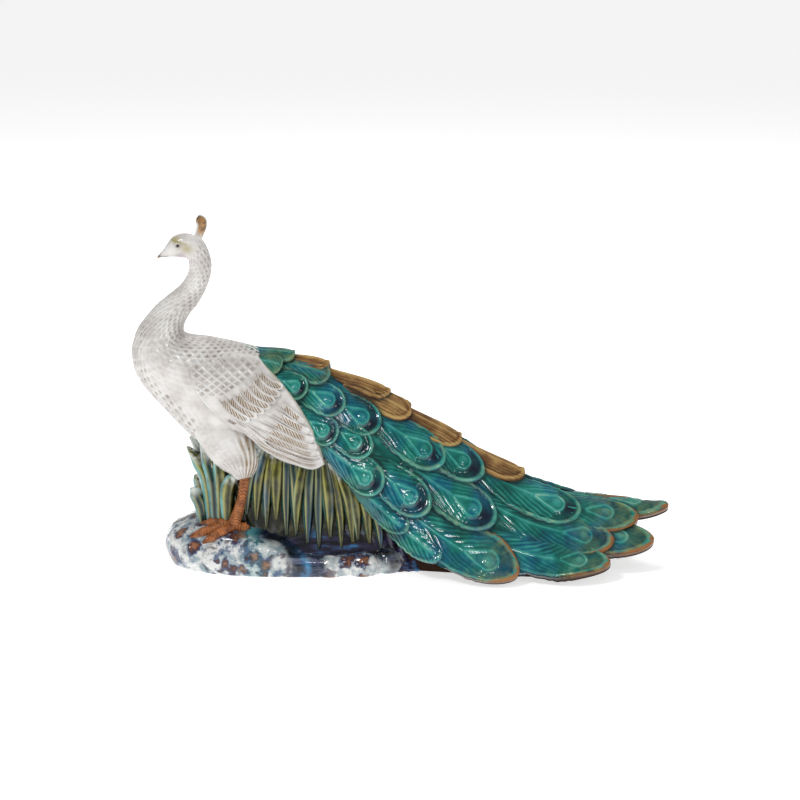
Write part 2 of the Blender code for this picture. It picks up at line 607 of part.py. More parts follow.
def add_tuft(shells, tuft, side):
    """Add the blades of one tuft, which arch out from the belly and hang to the ground."""
    crown, foot, heights, count = tuft
    h = FIGURE_HEIGHT
    w = REED_WIDTH
    for n in range(count):
        share = n / (count - 1)
        top_x = (crown[0] + (crown[1] - crown[0]) * share) * h
        low_x = (foot[0] + (foot[1] - foot[0]) * share) * h
        rise = (heights[0] + (heights[1] - heights[0]) * share) * h
        wave = 0.12 * w * math.sin(2.4 * n + 0.7)
        ground = float(base_height(np.float64(low_x), np.float64(side * reed_face(low_x, 0.0))))
        end = ground - 0.014 * h
        middle_x = low_x + 0.22 * (top_x - low_x)
        middle_z = 0.52 * rise + 0.48 * end
        path = ((top_x, side * (reed_face(top_x, rise) + 0.10 * w), rise),
                (middle_x, side * (reed_face(middle_x, middle_z) + 0.22 * w + wave), middle_z),
                (low_x, side * (reed_face(low_x, end) + 0.10 * w + 0.5 * wave), end))
        add_spindle(shells, path, (0.40 * w, 0.50 * w, 0.16 * w), (0.36 * w, 0.50 * w, 0.24 * w), (1, 0, 0), sides=8,
                    steps=10)


def evaluated(holder):
    """Return the mesh of an object after its modifiers."""
    graph = bpy.context.evaluated_depsgraph_get()
    graph.update()
    return bpy.data.meshes.new_from_object(holder.evaluated_get(graph))


def largest_skin(mesh):
    """Keep the outer skin of a mesh and drop every enclosed or loose one."""
    work = bmesh.new()
    work.from_mesh(mesh)
    work.faces.ensure_lookup_table()
    seen = set()
    groups = []
    for start in work.faces:
        if start.index in seen:
            continue
        group = []
        queue = [start]
        seen.add(start.index)
        while queue:
            face = queue.pop()
            group.append(face)
            for edge in face.edges:
                for other in edge.link_faces:
                    if other.index not in seen:
                        seen.add(other.index)
                        queue.append(other)
        groups.append(group)
    groups.sort(key=len)
    spare = [face for group in groups[:-1] for face in group]
    bmesh.ops.delete(work, geom=spare, context="FACES")
    work.to_mesh(mesh)
    work.free()
    return mesh


def fuse(shells):
    """Fuse the shells into one closed skin with a flat foot."""
    mesh = shells.mesh(NODE)
    holder = bpy.data.objects.new("fusing", mesh)
    bpy.context.scene.collection.objects.link(holder)
    remesh = holder.modifiers.new("skin", "REMESH")
    remesh.mode = "VOXEL"
    remesh.voxel_size = SKIN_STEP
    fused = largest_skin(evaluated(holder))
    holder.modifiers.clear()
    holder.data = fused
    triangles = sum(len(face.vertices) - 2 for face in fused.polygons)
    thin = holder.modifiers.new("facets", "DECIMATE")
    thin.decimate_type = "COLLAPSE"
    thin.ratio = SKIN_TRIANGLES / triangles
    thin.use_collapse_triangulate = True
    reduced = evaluated(holder)
    holder.modifiers.clear()
    holder.data = reduced
    reach = 2 * TRAIN_LENGTH
    cutter_mesh = bpy.data.meshes.new("ground")
    box = bmesh.new()
    bmesh.ops.create_cube(box, size=1.0)
    bmesh.ops.scale(box, vec=(2 * reach, 2 * reach, 0.1), verts=box.verts)
    bmesh.ops.translate(box, vec=(0, 0, -0.05), verts=box.verts)
    box.to_mesh(cutter_mesh)
    box.free()
    cutter = bpy.data.objects.new("ground", cutter_mesh)
    cutter.hide_render = True
    cutter.display_type = "WIRE"
    bpy.context.scene.collection.objects.link(cutter)
    cut = holder.modifiers.new("flat foot", "BOOLEAN")
    cut.operation = "DIFFERENCE"
    cut.solver = "EXACT"
    cut.object = cutter
    final = evaluated(holder)
    bpy.data.objects.remove(holder, do_unlink=True)
    bpy.data.objects.remove(cutter, do_unlink=True)
    return final


def finish(mesh):
    """Clean the skin, stand it over the origin and return the object."""
    work = bmesh.new()
    work.from_mesh(mesh)
    bmesh.ops.remove_doubles(work, verts=work.verts, dist=2e-6)
    bmesh.ops.dissolve_degenerate(work, edges=work.edges, dist=2e-6)
    bmesh.ops.triangulate(work, faces=work.faces)
    low = [min(v.co[k] for v in work.verts) for k in range(3)]
    high = [max(v.co[k] for v in work.verts) for k in range(3)]
    shift = (-(low[0] + high[0]) / 2, -(low[1] + high[1]) / 2, -low[2])
    bmesh.ops.translate(work, vec=shift, verts=work.verts)
    bmesh.ops.recalc_face_normals(work, faces=work.faces)
    out = bpy.data.meshes.new(NODE)
    work.to_mesh(out)
    odd = sum(1 for edge in work.edges if len(edge.link_faces) != 2)
    print("triangles", len(work.faces), "open edges", odd, "shift", shift)
    print("size", [round(high[k] - low[k], 4) for k in range(3)])
    work.free()
    figure = bpy.data.objects.new(NODE, out)
    bpy.context.scene.collection.objects.link(figure)
    return figure


def glaze():
    """Return the plain glaze of the solid."""
    material = bpy.data.materials.new("glazed_ceramic")
    material.use_nodes = True
    shader = material.node_tree.nodes["Principled BSDF"]
    shader.inputs["Base Color"].default_value = (0.16, 0.42, 0.40, 1.0)
    shader.inputs["Roughness"].default_value = 0.25
    return material


def main():
    """Build the figurine."""
    for item in list(bpy.data.objects):
        bpy.data.objects.remove(item, do_unlink=True)
    shells = Shells()
    add_bird(shells)
    for side in (-1, 1):
        add_wing(shells, -side)
    add_train(shells)
    add_base(shells)
    add_legs(shells)
    add_reeds(shells)
    figure = finish(fuse(shells))
    figure.data.materials.append(glaze())


main()
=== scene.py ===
"""Dresses the glazed peacock figurine around its CAD frame.

The bird faces -X and its train trails along +X. Metres, +Z up, standing on z = 0.
"""
import logging
import math
from dataclasses import dataclass, field
from enum import Enum
from typing import Callable

import bpy
import numpy as np
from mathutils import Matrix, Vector
from mathutils.kdtree import KDTree


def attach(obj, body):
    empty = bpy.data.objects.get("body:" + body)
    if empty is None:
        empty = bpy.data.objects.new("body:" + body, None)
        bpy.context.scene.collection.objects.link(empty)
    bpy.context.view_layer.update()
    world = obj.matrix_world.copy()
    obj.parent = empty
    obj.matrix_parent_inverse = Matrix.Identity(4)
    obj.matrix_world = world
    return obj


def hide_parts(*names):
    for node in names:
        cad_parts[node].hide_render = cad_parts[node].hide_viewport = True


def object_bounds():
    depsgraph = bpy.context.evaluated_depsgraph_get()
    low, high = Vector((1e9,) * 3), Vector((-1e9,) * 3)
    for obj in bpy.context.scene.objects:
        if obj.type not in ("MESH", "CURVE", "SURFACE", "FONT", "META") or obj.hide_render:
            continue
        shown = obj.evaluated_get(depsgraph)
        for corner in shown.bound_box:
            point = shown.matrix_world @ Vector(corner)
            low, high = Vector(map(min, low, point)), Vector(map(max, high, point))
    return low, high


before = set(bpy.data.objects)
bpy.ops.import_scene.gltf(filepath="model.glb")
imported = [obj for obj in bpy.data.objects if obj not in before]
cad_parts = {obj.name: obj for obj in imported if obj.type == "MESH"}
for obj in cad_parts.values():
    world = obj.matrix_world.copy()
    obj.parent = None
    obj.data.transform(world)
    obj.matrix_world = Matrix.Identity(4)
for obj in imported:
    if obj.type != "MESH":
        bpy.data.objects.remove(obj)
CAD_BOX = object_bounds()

LOG = logging.getLogger("peacock")
NODE = "peacock_figurine"
BODY = "root"

Array = np.ndarray
Surface = Callable[[Array, Array], Array]
Masks = dict[str, Array]
Colour = tuple[float, float, float, float]
Socket = bpy.types.NodeSocket
Material = bpy.types.Material
Piece = bpy.types.Object


# Sizes of the drawing, in metres
DRAWN_HEIGHT = 0.3138
BREAST_REACH = 0.2376
FIGURE_HEIGHT = 0.315
BODY_WIDTH = 0.079
TRAIN_LENGTH = 0.3685
TRAIN_WIDTH = 0.186
BASE_LENGTH = 0.236
BASE_DEPTH = 0.121
POOL_HEIGHT = 0.017
MOUND_HEIGHT = 0.046


@dataclass(frozen=True)
class FigureFrame:
    """Place of the drawing in the CAD box.

    The drawing's own x = 0 lies behind the feet; shift_x moves it into the row frame.
    """

    height: float
    low_x: float

    @property
    def scale(self) -> float:
        """Return the scale of the drawing, whose figure is DRAWN_HEIGHT tall."""
        return self.height / DRAWN_HEIGHT

    @property
    def shift_x(self) -> float:
        """Return the x of the drawing's zero in the row frame."""
        return self.low_x + BREAST_REACH * self.scale


def curve(rows: object, t: object) -> Array:
    """Return points of a smooth curve through rows.

    Args:
        rows: Points or values that the curve passes through, evenly spaced in t.
        t: Places along the curve, 0 to 1; it goes on straight outside.

    Returns:
        One point for each t.
    """
    rows = np.asarray(rows, float)
    last = len(rows) - 1
    t = np.asarray(t, float)
    held = np.clip(t, 0.0, 1.0)
    place = held * last
    i = np.minimum(place.astype(int), last - 1)
    f = (place - i)[..., None]
    ends = np.vstack([2 * rows[0] - rows[1], rows, 2 * rows[-1] - rows[-2]])
    p0, p1, p2, p3 = ends[i], ends[i + 1], ends[i + 2], ends[i + 3]
    square = f * f
    point = 0.5 * (2 * p1 + (p2 - p0) * f + (2 * p0 - 5 * p1 + 4 * p2 - p3) * square
                   + (3 * p1 - p0 - 3 * p2 + p3) * square * f)
    past = (t - held)[..., None]
    slope = np.where(past < 0, rows[1] - rows[0], rows[-1] - rows[-2]) * last
    return point + past * slope


def unit(vectors: Array) -> Array:
    """Return the vectors with length one."""
    length = np.linalg.norm(vectors, axis=-1, keepdims=True)
    return vectors / np.maximum(length, 1e-12)


def smooth(low: float, high: float, value: Array) -> Array:
    """Return 0 below low, 1 above high and an even blend between."""
    t = np.clip((value - low) / (high - low), 0.0, 1.0)
    return t * t * (3 - 2 * t)


def full_turn(count: int) -> Array:
    """Return count turns, evenly spaced round a circle."""
    return np.linspace(0, math.tau, count, endpoint=False)


def ball(rows: int, columns: int) -> Array:
    """Return the rings of a ball of radius one round the z axis."""
    rise = np.linspace(-0.49 * math.pi, 0.49 * math.pi, rows)[:, None]
    turn = full_turn(columns)[None, :]
    return np.stack([np.cos(rise) * np.cos(turn), np.cos(rise) * np.sin(turn), np.sin(rise) + 0 * turn], -1)


def bell(value: Array, width: float) -> Array:
    """Return 1 where value is 0, falling off over width."""
    return np.exp(-(value / width) ** 2)


def waver(seed: float, *places: Array) -> Array:
    """Return a smooth repeatable wobble between -1 and 1.

    Args:
        seed: Number that picks the wobble.
        places: Coordinates, already divided by the size of the wobble.

    Returns:
        The wobble at each place.
    """
    total = 0.0
    for n, place in enumerate(places):
        total = total + np.sin(place * (1.0 + 0.37 * n) + seed * (2.1 + n)) \
            + 0.6 * np.sin(place * (2.3 - 0.31 * n) + seed * (5.3 + 1.7 * n) + total)
    return np.tanh(total / (1.2 * len(places)))


class Casting:
    """Grids of one piece, gathered and turned into one mesh object."""

    def __init__(self, name: str, masks: tuple[str, ...]) -> None:
        """Start an empty casting whose points carry the named masks."""
        self.name = name
        self.mask_names = masks
        self.points: list[Array] = []
        self.masks: dict[str, list[Array]] = {name: [] for name in masks}
        self.faces: list[Array] = []
        self.count = 0

    def add(self, points: Array, faces: list[Array], masks: Masks) -> None:
        """Add points, their faces (as lists of quads or triangles) and their masks.

        Args:
            points: Points, one a row.
            faces: Arrays of point numbers, four or three a row.
            masks: Values for some of the masks; the others are nought.
        """
        points = np.asarray(points, float).reshape(-1, 3)
        self.points.append(points)
        if self.volume(points, faces) < 0:
            faces = [face[:, ::-1] for face in faces]
        for face in faces:
            self.faces.append(np.asarray(face, int) + self.count)
        for name in self.mask_names:
            value = np.asarray(masks.get(name, 0.0), float)
            flat = value.reshape(-1) if value.ndim else value
            self.masks[name].append(np.broadcast_to(flat, (len(points),)))
        self.count += len(points)

    @staticmethod
    def volume(points: Array, faces: list[Array]) -> float:
        """Return six times the volume that the faces hold, below nought where they face in."""
        total = 0.0
        for face in faces:
            corners = points[face]
            for k in range(1, face.shape[1] - 1):
                total += np.sum(corners[:, 0] * np.cross(corners[:, k], corners[:, k + 1]))
        return float(total)

    def add_loft(self, rings: Array, masks: Masks, capped: bool = True) -> None:
        """Add a tube through rings.

        Args:
            rings: Rings of points, shaped (rows, columns, 3).
            masks: Values shaped (rows, columns).
            capped: Whether both ends are closed by a fan.
        """
        rows, columns = rings.shape[:2]
        i, j = np.meshgrid(np.arange(rows - 1), np.arange(columns), indexing="ij")
        k = (j + 1) % columns
        here, after = i * columns, (i + 1) * columns
        quads = np.stack([here + j, here + k, after + k, after + j], -1)
        faces = [quads.reshape(-1, 4)]
        points = rings.reshape(-1, 3)
        values = {name: np.broadcast_to(value, (rows, columns)).reshape(-1) for name, value in masks.items()}
        if capped:
            ends = np.stack([rings[0].mean(0), rings[-1].mean(0)])
            points = np.concatenate([points, ends])
            values = {name: np.concatenate([value, [value[:columns].mean(), value[-columns:].mean()]])
                      for name, value in values.items()}
            ring = np.arange(columns)
            turn = (ring + 1) % columns
            first = rows * columns
            last = (rows - 1) * columns
            faces.append(np.stack([turn, ring, np.full(columns, first)], -1))
            faces.append(np.stack([last + ring, last + turn, np.full(columns, first + 1)], -1))
        self.add(points, faces, values)

    def add_leaf(self, top: Array, foot: Array, masks: Masks, foot_masks: Masks) -> None:
        """Add a leaf: a modelled top, low walls round it and a plain underside.

        Args:
            top: Points of the top, shaped (rows, columns, 3).
            foot: Points under the two long edges, shaped (rows, 2, 3).
            masks: Values of the top, shaped (rows, columns).
            foot_masks: Values of the underside.
        """
        rows, columns = top.shape[:2]
        i, j = np.meshgrid(np.arange(rows - 1), np.arange(columns - 1), indexing="ij")
        a = i * columns + j
        quads = [np.stack([a, a + 1, a + columns + 1, a + columns], -1).reshape(-1, 4)]
        base = rows * columns
        k = np.arange(rows - 1)
        left, right = base + 2 * k, base + 2 * k + 1
        quads.append(np.stack([k * columns + columns, left + 2, left, k * columns], -1)[:, ::-1])
        edge = k * columns + columns - 1
        quads.append(np.stack([edge, right, right + 2, edge + columns], -1)[:, ::-1])
        quads.append(np.stack([left, left + 2, right + 2, right], -1))
        fans = []
        for row, turned in ((0, False), (rows - 1, True)):
            span = np.arange(columns - 1) + row * columns
            middle = base + 2 * row
            half = columns // 2
            fan = np.concatenate([np.stack([span[:half] + 1, span[:half], np.full(half, middle)], -1),
                                  np.stack([span[half:] + 1, span[half:],
                                            np.full(columns - 1 - half, middle + 1)], -1),
                                  [[row * columns + half, middle, middle + 1]]])
            fans.append(fan[:, ::-1] if turned else fan)
        values = {}
        for name in self.mask_names:
            over = np.broadcast_to(masks.get(name, 0.0), (rows, columns)).reshape(-1)
            under = np.full(2 * rows, float(foot_masks.get(name, 0.0)))
            values[name] = np.concatenate([over, under])
        self.add(np.concatenate([top.reshape(-1, 3), foot.reshape(-1, 3)]), quads + fans, values)

    def build(self, shift: Vector, material: Material) -> Piece:
        """Make the object, smooth it, dress it and tie it to the frame.

        Args:
            shift: Where the drawing's zero lies in the row frame.
            material: The glaze of the piece.

        Returns:
            The new object.
        """
        points = np.concatenate(self.points) + np.array(shift)
        mesh = bpy.data.meshes.new(self.name)
        corners = np.concatenate([face.reshape(-1) for face in self.faces])
        sizes = np.concatenate([np.full(len(face), face.shape[1]) for face in self.faces])
        starts = np.concatenate([[0], np.cumsum(sizes)[:-1]])
        mesh.vertices.add(len(points))
        mesh.vertices.foreach_set("co", points.astype(np.float32).reshape(-1))
        mesh.loops.add(len(corners))
        mesh.loops.foreach_set("vertex_index", corners.astype(np.int32))
        mesh.polygons.add(len(sizes))
        mesh.polygons.foreach_set("loop_start", starts.astype(np.int32))
        mesh.update(calc_edges=True)
        mesh.validate()
        for name in self.mask_names:
            values = np.clip(np.concatenate(self.masks[name]), 0.0, 1.0).astype(np.float32)
            layer = mesh.attributes.new(name, "FLOAT", "POINT")
            layer.data.foreach_set("value", values)
        mesh.polygons.foreach_set("use_smooth", np.ones(len(mesh.polygons), bool))
        piece = bpy.data.objects.new(self.name, mesh)
        bpy.context.scene.collection.objects.link(piece)
        piece.data.materials.append(material)
        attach(piece, BODY)
        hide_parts(NODE)
        triangles = int(np.sum(sizes - 2))
        LOG.info("%s: %d triangles", self.name, triangles)
        return piece


@dataclass(frozen=True)
class TrainForm:
    """Smooth form that the train's feathers lie on: a runs -1 to 1 across, r runs 0 to 1 along."""

    length: float = TRAIN_LENGTH
    width: float = TRAIN_WIDTH
    rump_x: float = -0.4016 * FIGURE_HEIGHT
    rump_z: float = 0.6254 * FIGURE_HEIGHT
    ridge: tuple = ((0.0, 1.0), (0.146, 0.925), (0.295, 0.80), (0.44, 0.628), (0.586, 0.455),
                    (0.733, 0.325), (0.86, 0.275), (1.0, 0.255))
    edge: tuple = ((0.165, 0.473, 0.499), (0.217, 0.538, 0.378), (0.277, 0.613, 0.268),
                   (0.348, 0.731, 0.160), (0.426, 0.86, 0.073), (0.52, 0.968, 0.03),
                   (0.59, 1.0, 0.03), (0.628, 1.0, 0.05))
    rounding: float = 0.15
    flattening: float = 1.15

    def inside(self, a: Array, r: Array) -> Array:
        """Lay points on the form between its edges.

        Args:
            a: Places across, -1 to 1.
            r: Places along, 0 to 1.

        Returns:
            The points.
        """
        ridge = curve(self.ridge, r)
        edge = curve(self.edge, r)
        turn = np.abs(a) * math.pi / 2
        wide = np.sin(turn)
        drop = 1 - np.cos(turn)
        k = self.rounding
        tent = 1 - (np.sqrt(wide * wide + k * k) - k) / (math.sqrt(1 + k * k) - k)
        flat = np.clip(r * self.flattening, 0, 1)
        rise = (1 - flat) * np.cos(turn) + flat * tent
        x = self.rump_x + self.length * (ridge[..., 0] + (edge[..., 0] - ridge[..., 0]) * drop)
        z = self.rump_z * (edge[..., 2] + (ridge[..., 1] - edge[..., 2]) * rise)
        y = np.sign(a) * edge[..., 1] * self.width / 2 * wide
        return np.stack([x, y, z], -1)

    def __call__(self, a: Array, r: Array) -> Array:
        """Lay points on the form, carried on straight past its edges.

        Args:
            a: Places across, -1 to 1.
            r: Places along, 0 to 1.

        Returns:
            The points.
        """
        a, r = np.broadcast_arrays(np.asarray(a, float), np.asarray(r, float))
        held = np.clip(a, -1.0, 1.0)
        step = 0.02
        point = self.inside(held, r)
        inner = self.inside(held - np.sign(a) * step, r)
        return point + (point - inner) * ((np.abs(a - held) / step)[..., None])


@dataclass(frozen=True)
class WingForm:
    """Smooth skin of one wing: u runs from front to rear, v from top to foot."""

    side: int
    front: tuple = ((-0.543, 0.057, 0.628), (-0.581, 0.120, 0.588), (-0.570, 0.134, 0.528),
                    (-0.535, 0.138, 0.481), (-0.466, 0.141, 0.436))
    rear: tuple = ((-0.396, 0.044, 0.608), (-0.355, 0.105, 0.571), (-0.301, 0.133, 0.515),
                   (-0.263, 0.140, 0.456), (-0.230, 0.143, 0.388), (-0.209, 0.140, 0.315))
    top: tuple = ((-0.543, 0.057, 0.628), (-0.470, 0.050, 0.624), (-0.396, 0.044, 0.608))
    foot: tuple = ((-0.466, 0.140, 0.436), (-0.400, 0.143, 0.385), (-0.348, 0.144, 0.336),
                   (-0.290, 0.145, 0.313), (-0.243, 0.144, 0.301), (-0.209, 0.140, 0.315))
    bulge: float = 0.016

    def __call__(self, u: Array, v: Array) -> Array:
        """Lay points on the skin.

        Args:
            u: Places from front to rear.
            v: Places from top to foot.

        Returns:
            The points.
        """
        u, v = np.broadcast_arrays(np.asarray(u, float), np.asarray(v, float))
        p, q = u[..., None], v[..., None]
        corners = [np.asarray(c) for c in (self.top[0], self.foot[0], self.top[-1], self.foot[-1])]
        point = ((1 - q) * curve(self.top, u) + q * curve(self.foot, u)
                 + (1 - p) * curve(self.front, v) + p * curve(self.rear, v)
                 - (1 - p) * (1 - q) * corners[0] - (1 - p) * q * corners[1]
                 - p * (1 - q) * corners[2] - p * q * corners[3])
        bulge = self.bulge * 16 * np.clip(u * (1 - u), 0, 1) * np.clip(v * (1 - v), 0, 1)
        depth = self.side * (point[..., 1] + bulge)
        return np.stack([point[..., 0], depth, point[..., 2]], -1) * FIGURE_HEIGHT


def outward(form: Surface, a: Array, r: Array, facing: float) -> Array:
    """Find the outward normals of a form.

    Args:
        form: The form.
        a: Places across.
        r: Places along.
        facing: 1 or -1, which of the two normals points out.

    Returns:
        The normals.
    """
    step = 1e-3
    da = form(a + step, r) - form(a - step, r)
    dr = form(a, r + step) - form(a, r - step)
    return unit(np.cross(dr, da)) * facing


@dataclass
class LeafGrid:
    """Places of a leaf's points on a form, and its own measures there."""

    base: Array
    normal: Array
    s: Array
    t: Array


def lay_leaf(form: Surface, a: Array, r: Array, half: Array, t: Array, facing: float) -> LeafGrid:
    """Lay a leaf's grid on a form along a line of places.

    Args:
        form: The form it lies on.
        a: Places of the centre line across the form.
        r: Places of the centre line along the form.
        half: Half width at each place, in metres.
        t: Columns from -1 to 1.
        facing: Which side of the form is out.

    Returns:
        The grid, with s 0 at the root and 1 at the tip.
    """
    step = 1e-3
    da = (form(a + step, r) - form(a - step, r)) / (2 * step)
    dr = (form(a, r + step) - form(a, r - step)) / (2 * step)
    centre = form(a, r)
    forward = unit(np.gradient(centre, axis=0))
    normal = unit(np.cross(dr, da)) * facing
    aside = np.cross(normal, forward)
    aa, ar, rr = (np.sum(p * q, -1) for p, q in ((da, da), (da, dr), (dr, dr)))
    sa, sr = np.sum(da * aside, -1), np.sum(dr * aside, -1)
    det = np.maximum(aa * rr - ar * ar, 1e-12)
    shift = half[:, None] * t[None, :]
    grid_a = a[:, None] + ((sa * rr - sr * ar) / det)[:, None] * shift
    grid_r = r[:, None] + ((sr * aa - sa * ar) / det)[:, None] * shift
    s = np.linspace(0, 1, len(a))
    return LeafGrid(form(grid_a, grid_r), outward(form, grid_a, grid_r, facing),
                    np.broadcast_to(s[:, None], shift.shape), np.broadcast_to(t[None, :], shift.shape))


class FeatherKind(Enum):
    """Sorts of train feather."""

    EYE = "eye"
    LEAF = "leaf"
    RIDGE = "ridge"
    END = "end"


@dataclass(frozen=True)
class FeatherPlan:
    """One train feather of one side.

    across and along place its tip on the form; length and width are shares of the train's length.
    """

    across: float
    along: float
    length: float
    width: float
    lift: float
    kind: FeatherKind = FeatherKind.EYE


TRAIN_FEATHERS = (
    FeatherPlan(0.32, 1.00, 0.33, 0.118, 0.7, FeatherKind.END),
    FeatherPlan(0.00, 1.00, 0.34, 0.122, 1.0, FeatherKind.END),
    FeatherPlan(0.56, 0.97, 0.33, 0.120, 1.2, FeatherKind.END),
    FeatherPlan(0.16, 0.93, 0.33, 0.122, 1.5, FeatherKind.END),
    FeatherPlan(0.35, 0.90, 0.32, 0.128, 1.3, FeatherKind.END),
    FeatherPlan(0.73, 0.74, 0.32, 0.135, 1.3, FeatherKind.END),
    FeatherPlan(0.17, 0.78, 0.30, 0.128, 1.3),
    FeatherPlan(0.87, 0.55, 0.24, 0.090, 0.5, FeatherKind.LEAF),
    FeatherPlan(0.45, 0.60, 0.27, 0.122, 1.3),
    FeatherPlan(0.03, 0.63, 0.24, 0.100, 1.3, FeatherKind.RIDGE),
    FeatherPlan(0.21, 0.54, 0.25, 0.115, 1.3),
    FeatherPlan(0.86, 0.42, 0.20, 0.080, 0.5, FeatherKind.LEAF),
    FeatherPlan(0.64, 0.45, 0.23, 0.105, 1.2),
    FeatherPlan(0.07, 0.48, 0.20, 0.088, 1.3, FeatherKind.RIDGE),
    FeatherPlan(0.30, 0.45, 0.24, 0.112, 1.2),
    FeatherPlan(0.12, 0.36, 0.18, 0.080, 1.2, FeatherKind.RIDGE),
    FeatherPlan(0.75, 0.31, 0.19, 0.092, 1.2),
    FeatherPlan(0.37, 0.29, 0.20, 0.100, 1.2),
    FeatherPlan(0.57, 0.27, 0.18, 0.085, 1.2),
    FeatherPlan(0.02, 0.31, 0.17, 0.078, 1.3, FeatherKind.RIDGE),
    FeatherPlan(0.65, 0.16, 0.15, 0.078, 1.2),
    FeatherPlan(0.39, 0.20, 0.17, 0.088, 1.2),
    FeatherPlan(0.18, 0.17, 0.15, 0.078, 1.2, FeatherKind.LEAF),
    FeatherPlan(0.02, 0.17, 0.14, 0.070, 1.3, FeatherKind.RIDGE),
    FeatherPlan(0.42, 0.10, 0.14, 0.072, 1.2),
    FeatherPlan(0.06, 0.09, 0.12, 0.062, 1.2, FeatherKind.LEAF),
    FeatherPlan(0.27, 0.05, 0.11, 0.058, 1.2, FeatherKind.LEAF),
)


@dataclass
class TrainFeather:
    """One glazed train feather, modelled in metres and laid on the train's form."""

    plan: FeatherPlan
    side: int
    order: int
    form: TrainForm = field(default_factory=TrainForm)
    lift_unit: float = 0.0045
    thickness: float = 0.0055
    sink: float = 0.0045
    first_root: float = -0.03
    shoulder: float = 0.68
    root_width: float = 0.42
    grain: float = 0.00112
    tip_inset: float = 0.0005
    rib: float = 0.00085
    strand: float = 0.0030
    shaft_width: float = 0.0010
    rim_width: float = 0.0013
    rim_place: float = 0.89
    ring_width: float = 0.0011
    bowl_depth: float = 0.0013
    edge_drop: float = 0.0016
    eye_centre: float = 0.735
    eye_size: float = 0.185
    eye_length: float = 2.4

    def __post_init__(self) -> None:
        """Work out the sizes and the wobble of this feather."""
        self.length = self.plan.length * self.form.length
        self.width = self.plan.width * self.form.length
        self.seed = 1.7 * self.order + 0.9 * self.side
        self.grid = self.lay()

    def outline(self, s: Array) -> Array:
        """Draw a narrow root, a wide eye and a round tip.

        Args:
            s: Places along the feather, 0 to 1.

        Returns:
            The half width there.
        """
        swell = np.sin(np.clip(s / self.shoulder, 0, 1) * math.pi / 2)
        rising = self.root_width + (1 - self.root_width) * swell
        falling = np.sqrt(np.clip(1 - ((s - self.shoulder) / (1 - self.shoulder)) ** 2, 0, 1))
        half = np.where(s < self.shoulder, rising, falling)
        return np.maximum(half, 0.04) * self.width / 2

    def lay(self) -> LeafGrid:
        """Lay the feather's grid on the train from its tip back along its length."""
        tip_a = self.side * self.plan.across
        tip_r = self.plan.along - self.tip_inset
        step = 0.01
        here, before = self.form(tip_a, tip_r - step), self.form(tip_a, tip_r - 2 * step)
        root_r = tip_r - self.length * step / np.linalg.norm(before - here)
        for _ in range(3):
            trial = self.form(np.full(40, tip_a), np.linspace(root_r, tip_r, 40))
            reached = np.sum(np.linalg.norm(np.diff(trial, axis=0), axis=1))
            root_r = tip_r - (tip_r - root_r) * self.length / reached
        root_r = max(root_r, self.first_root)
        rows = max(16, int(self.length / self.grain))
        share = np.linspace(0, 1, rows)
        self.s = 1 - (1 - share) ** 1.15
        r = root_r + (tip_r - root_r) * self.s
        columns = max(14, int(self.width / self.grain / 2) * 2)
        even = np.linspace(-1, 1, columns + 1)
        t = 0.72 * even + 0.28 * np.sin(even * math.pi / 2)
        half = self.outline(self.s) * (1 + self.serration(self.s))
        grid = lay_leaf(self.form, np.full_like(r, tip_a), r, half, t, 1.0)
        grid.s = np.broadcast_to(self.s[:, None], grid.s.shape)
        return grid

    @property
    def ended(self) -> bool:
        """Return whether the feather is one of the train's last."""
        return self.plan.kind is FeatherKind.END

    @property
    def pitch(self) -> float:
        """Return the distance between barbs."""
        return 0.0032 + 0.13 * self.width

    def barb_phase(self, s: Array, x: Array) -> Array:
        """Count the barbs, which lean towards the tip.

        Args:
            s: Places along the feather, 0 to 1.
            x: Places aside of the shaft, in metres.

        Returns:
            How many barbs lie before each place.
        """
        reach = np.abs(x)
        if self.plan.kind is FeatherKind.RIDGE:
            bend = 0.35 * waver(self.seed, s * 4, x * 60) + 0.12 * waver(self.seed + 1, s * 16)
            return reach / self.strand + bend
        sweep = 1.7 * reach + 26.0 * reach * reach
        return (s * self.length - sweep) / self.pitch + 0.45 * waver(self.seed, s * 6, x * 80)

    def serration(self, s: Array) -> Array:
        """Return how far the barbs push the outline out, as a share."""
        comb = np.cos(math.tau * self.barb_phase(s, self.outline(s)))
        return 0.022 * (comb - 1) * (1 - smooth(0.70, 0.86, s))

    def comb(self, s: Array, x: Array) -> Array:
        """Model the ripple of the barbs.

        Args:
            s: Places along the feather, 0 to 1.
            x: Places aside of the shaft, in metres.

        Returns:
            The ripple, 0 to 1.
        """
        phase = math.tau * self.barb_phase(s, x)
        second = 1.8 * phase + 2 * waver(self.seed + 5, s * 5, x * 60)
        ripple = 0.5 + 0.43 * np.cos(phase) + 0.07 * np.cos(second)
        return ripple ** 1.3 * (0.72 + 0.28 * waver(self.seed + 8, s * 6, x * 110))

    def barb_reach(self, brim: Array, near_eye: Array) -> Array:
        """Keep the barbs off the shaft, the eye and the edge.

        Args:
            brim: Nearness to the edge, 0 to 1.
            near_eye: Nearness to the eye, 0 to 1.

        Returns:
            How strongly the barbs show.
        """
        span = smooth(0.06, 0.30, np.abs(self.grid.t)) * (1 - 0.85 * np.clip(near_eye, 0, 1))
        span = span * (1 - smooth(0.90, 1.0, brim))
        if self.ended:
            span = span * (1 - smooth(0.64, 0.84, brim)) * (1 - 0.4 * smooth(0.5, 0.8, self.grid.s))
        return span

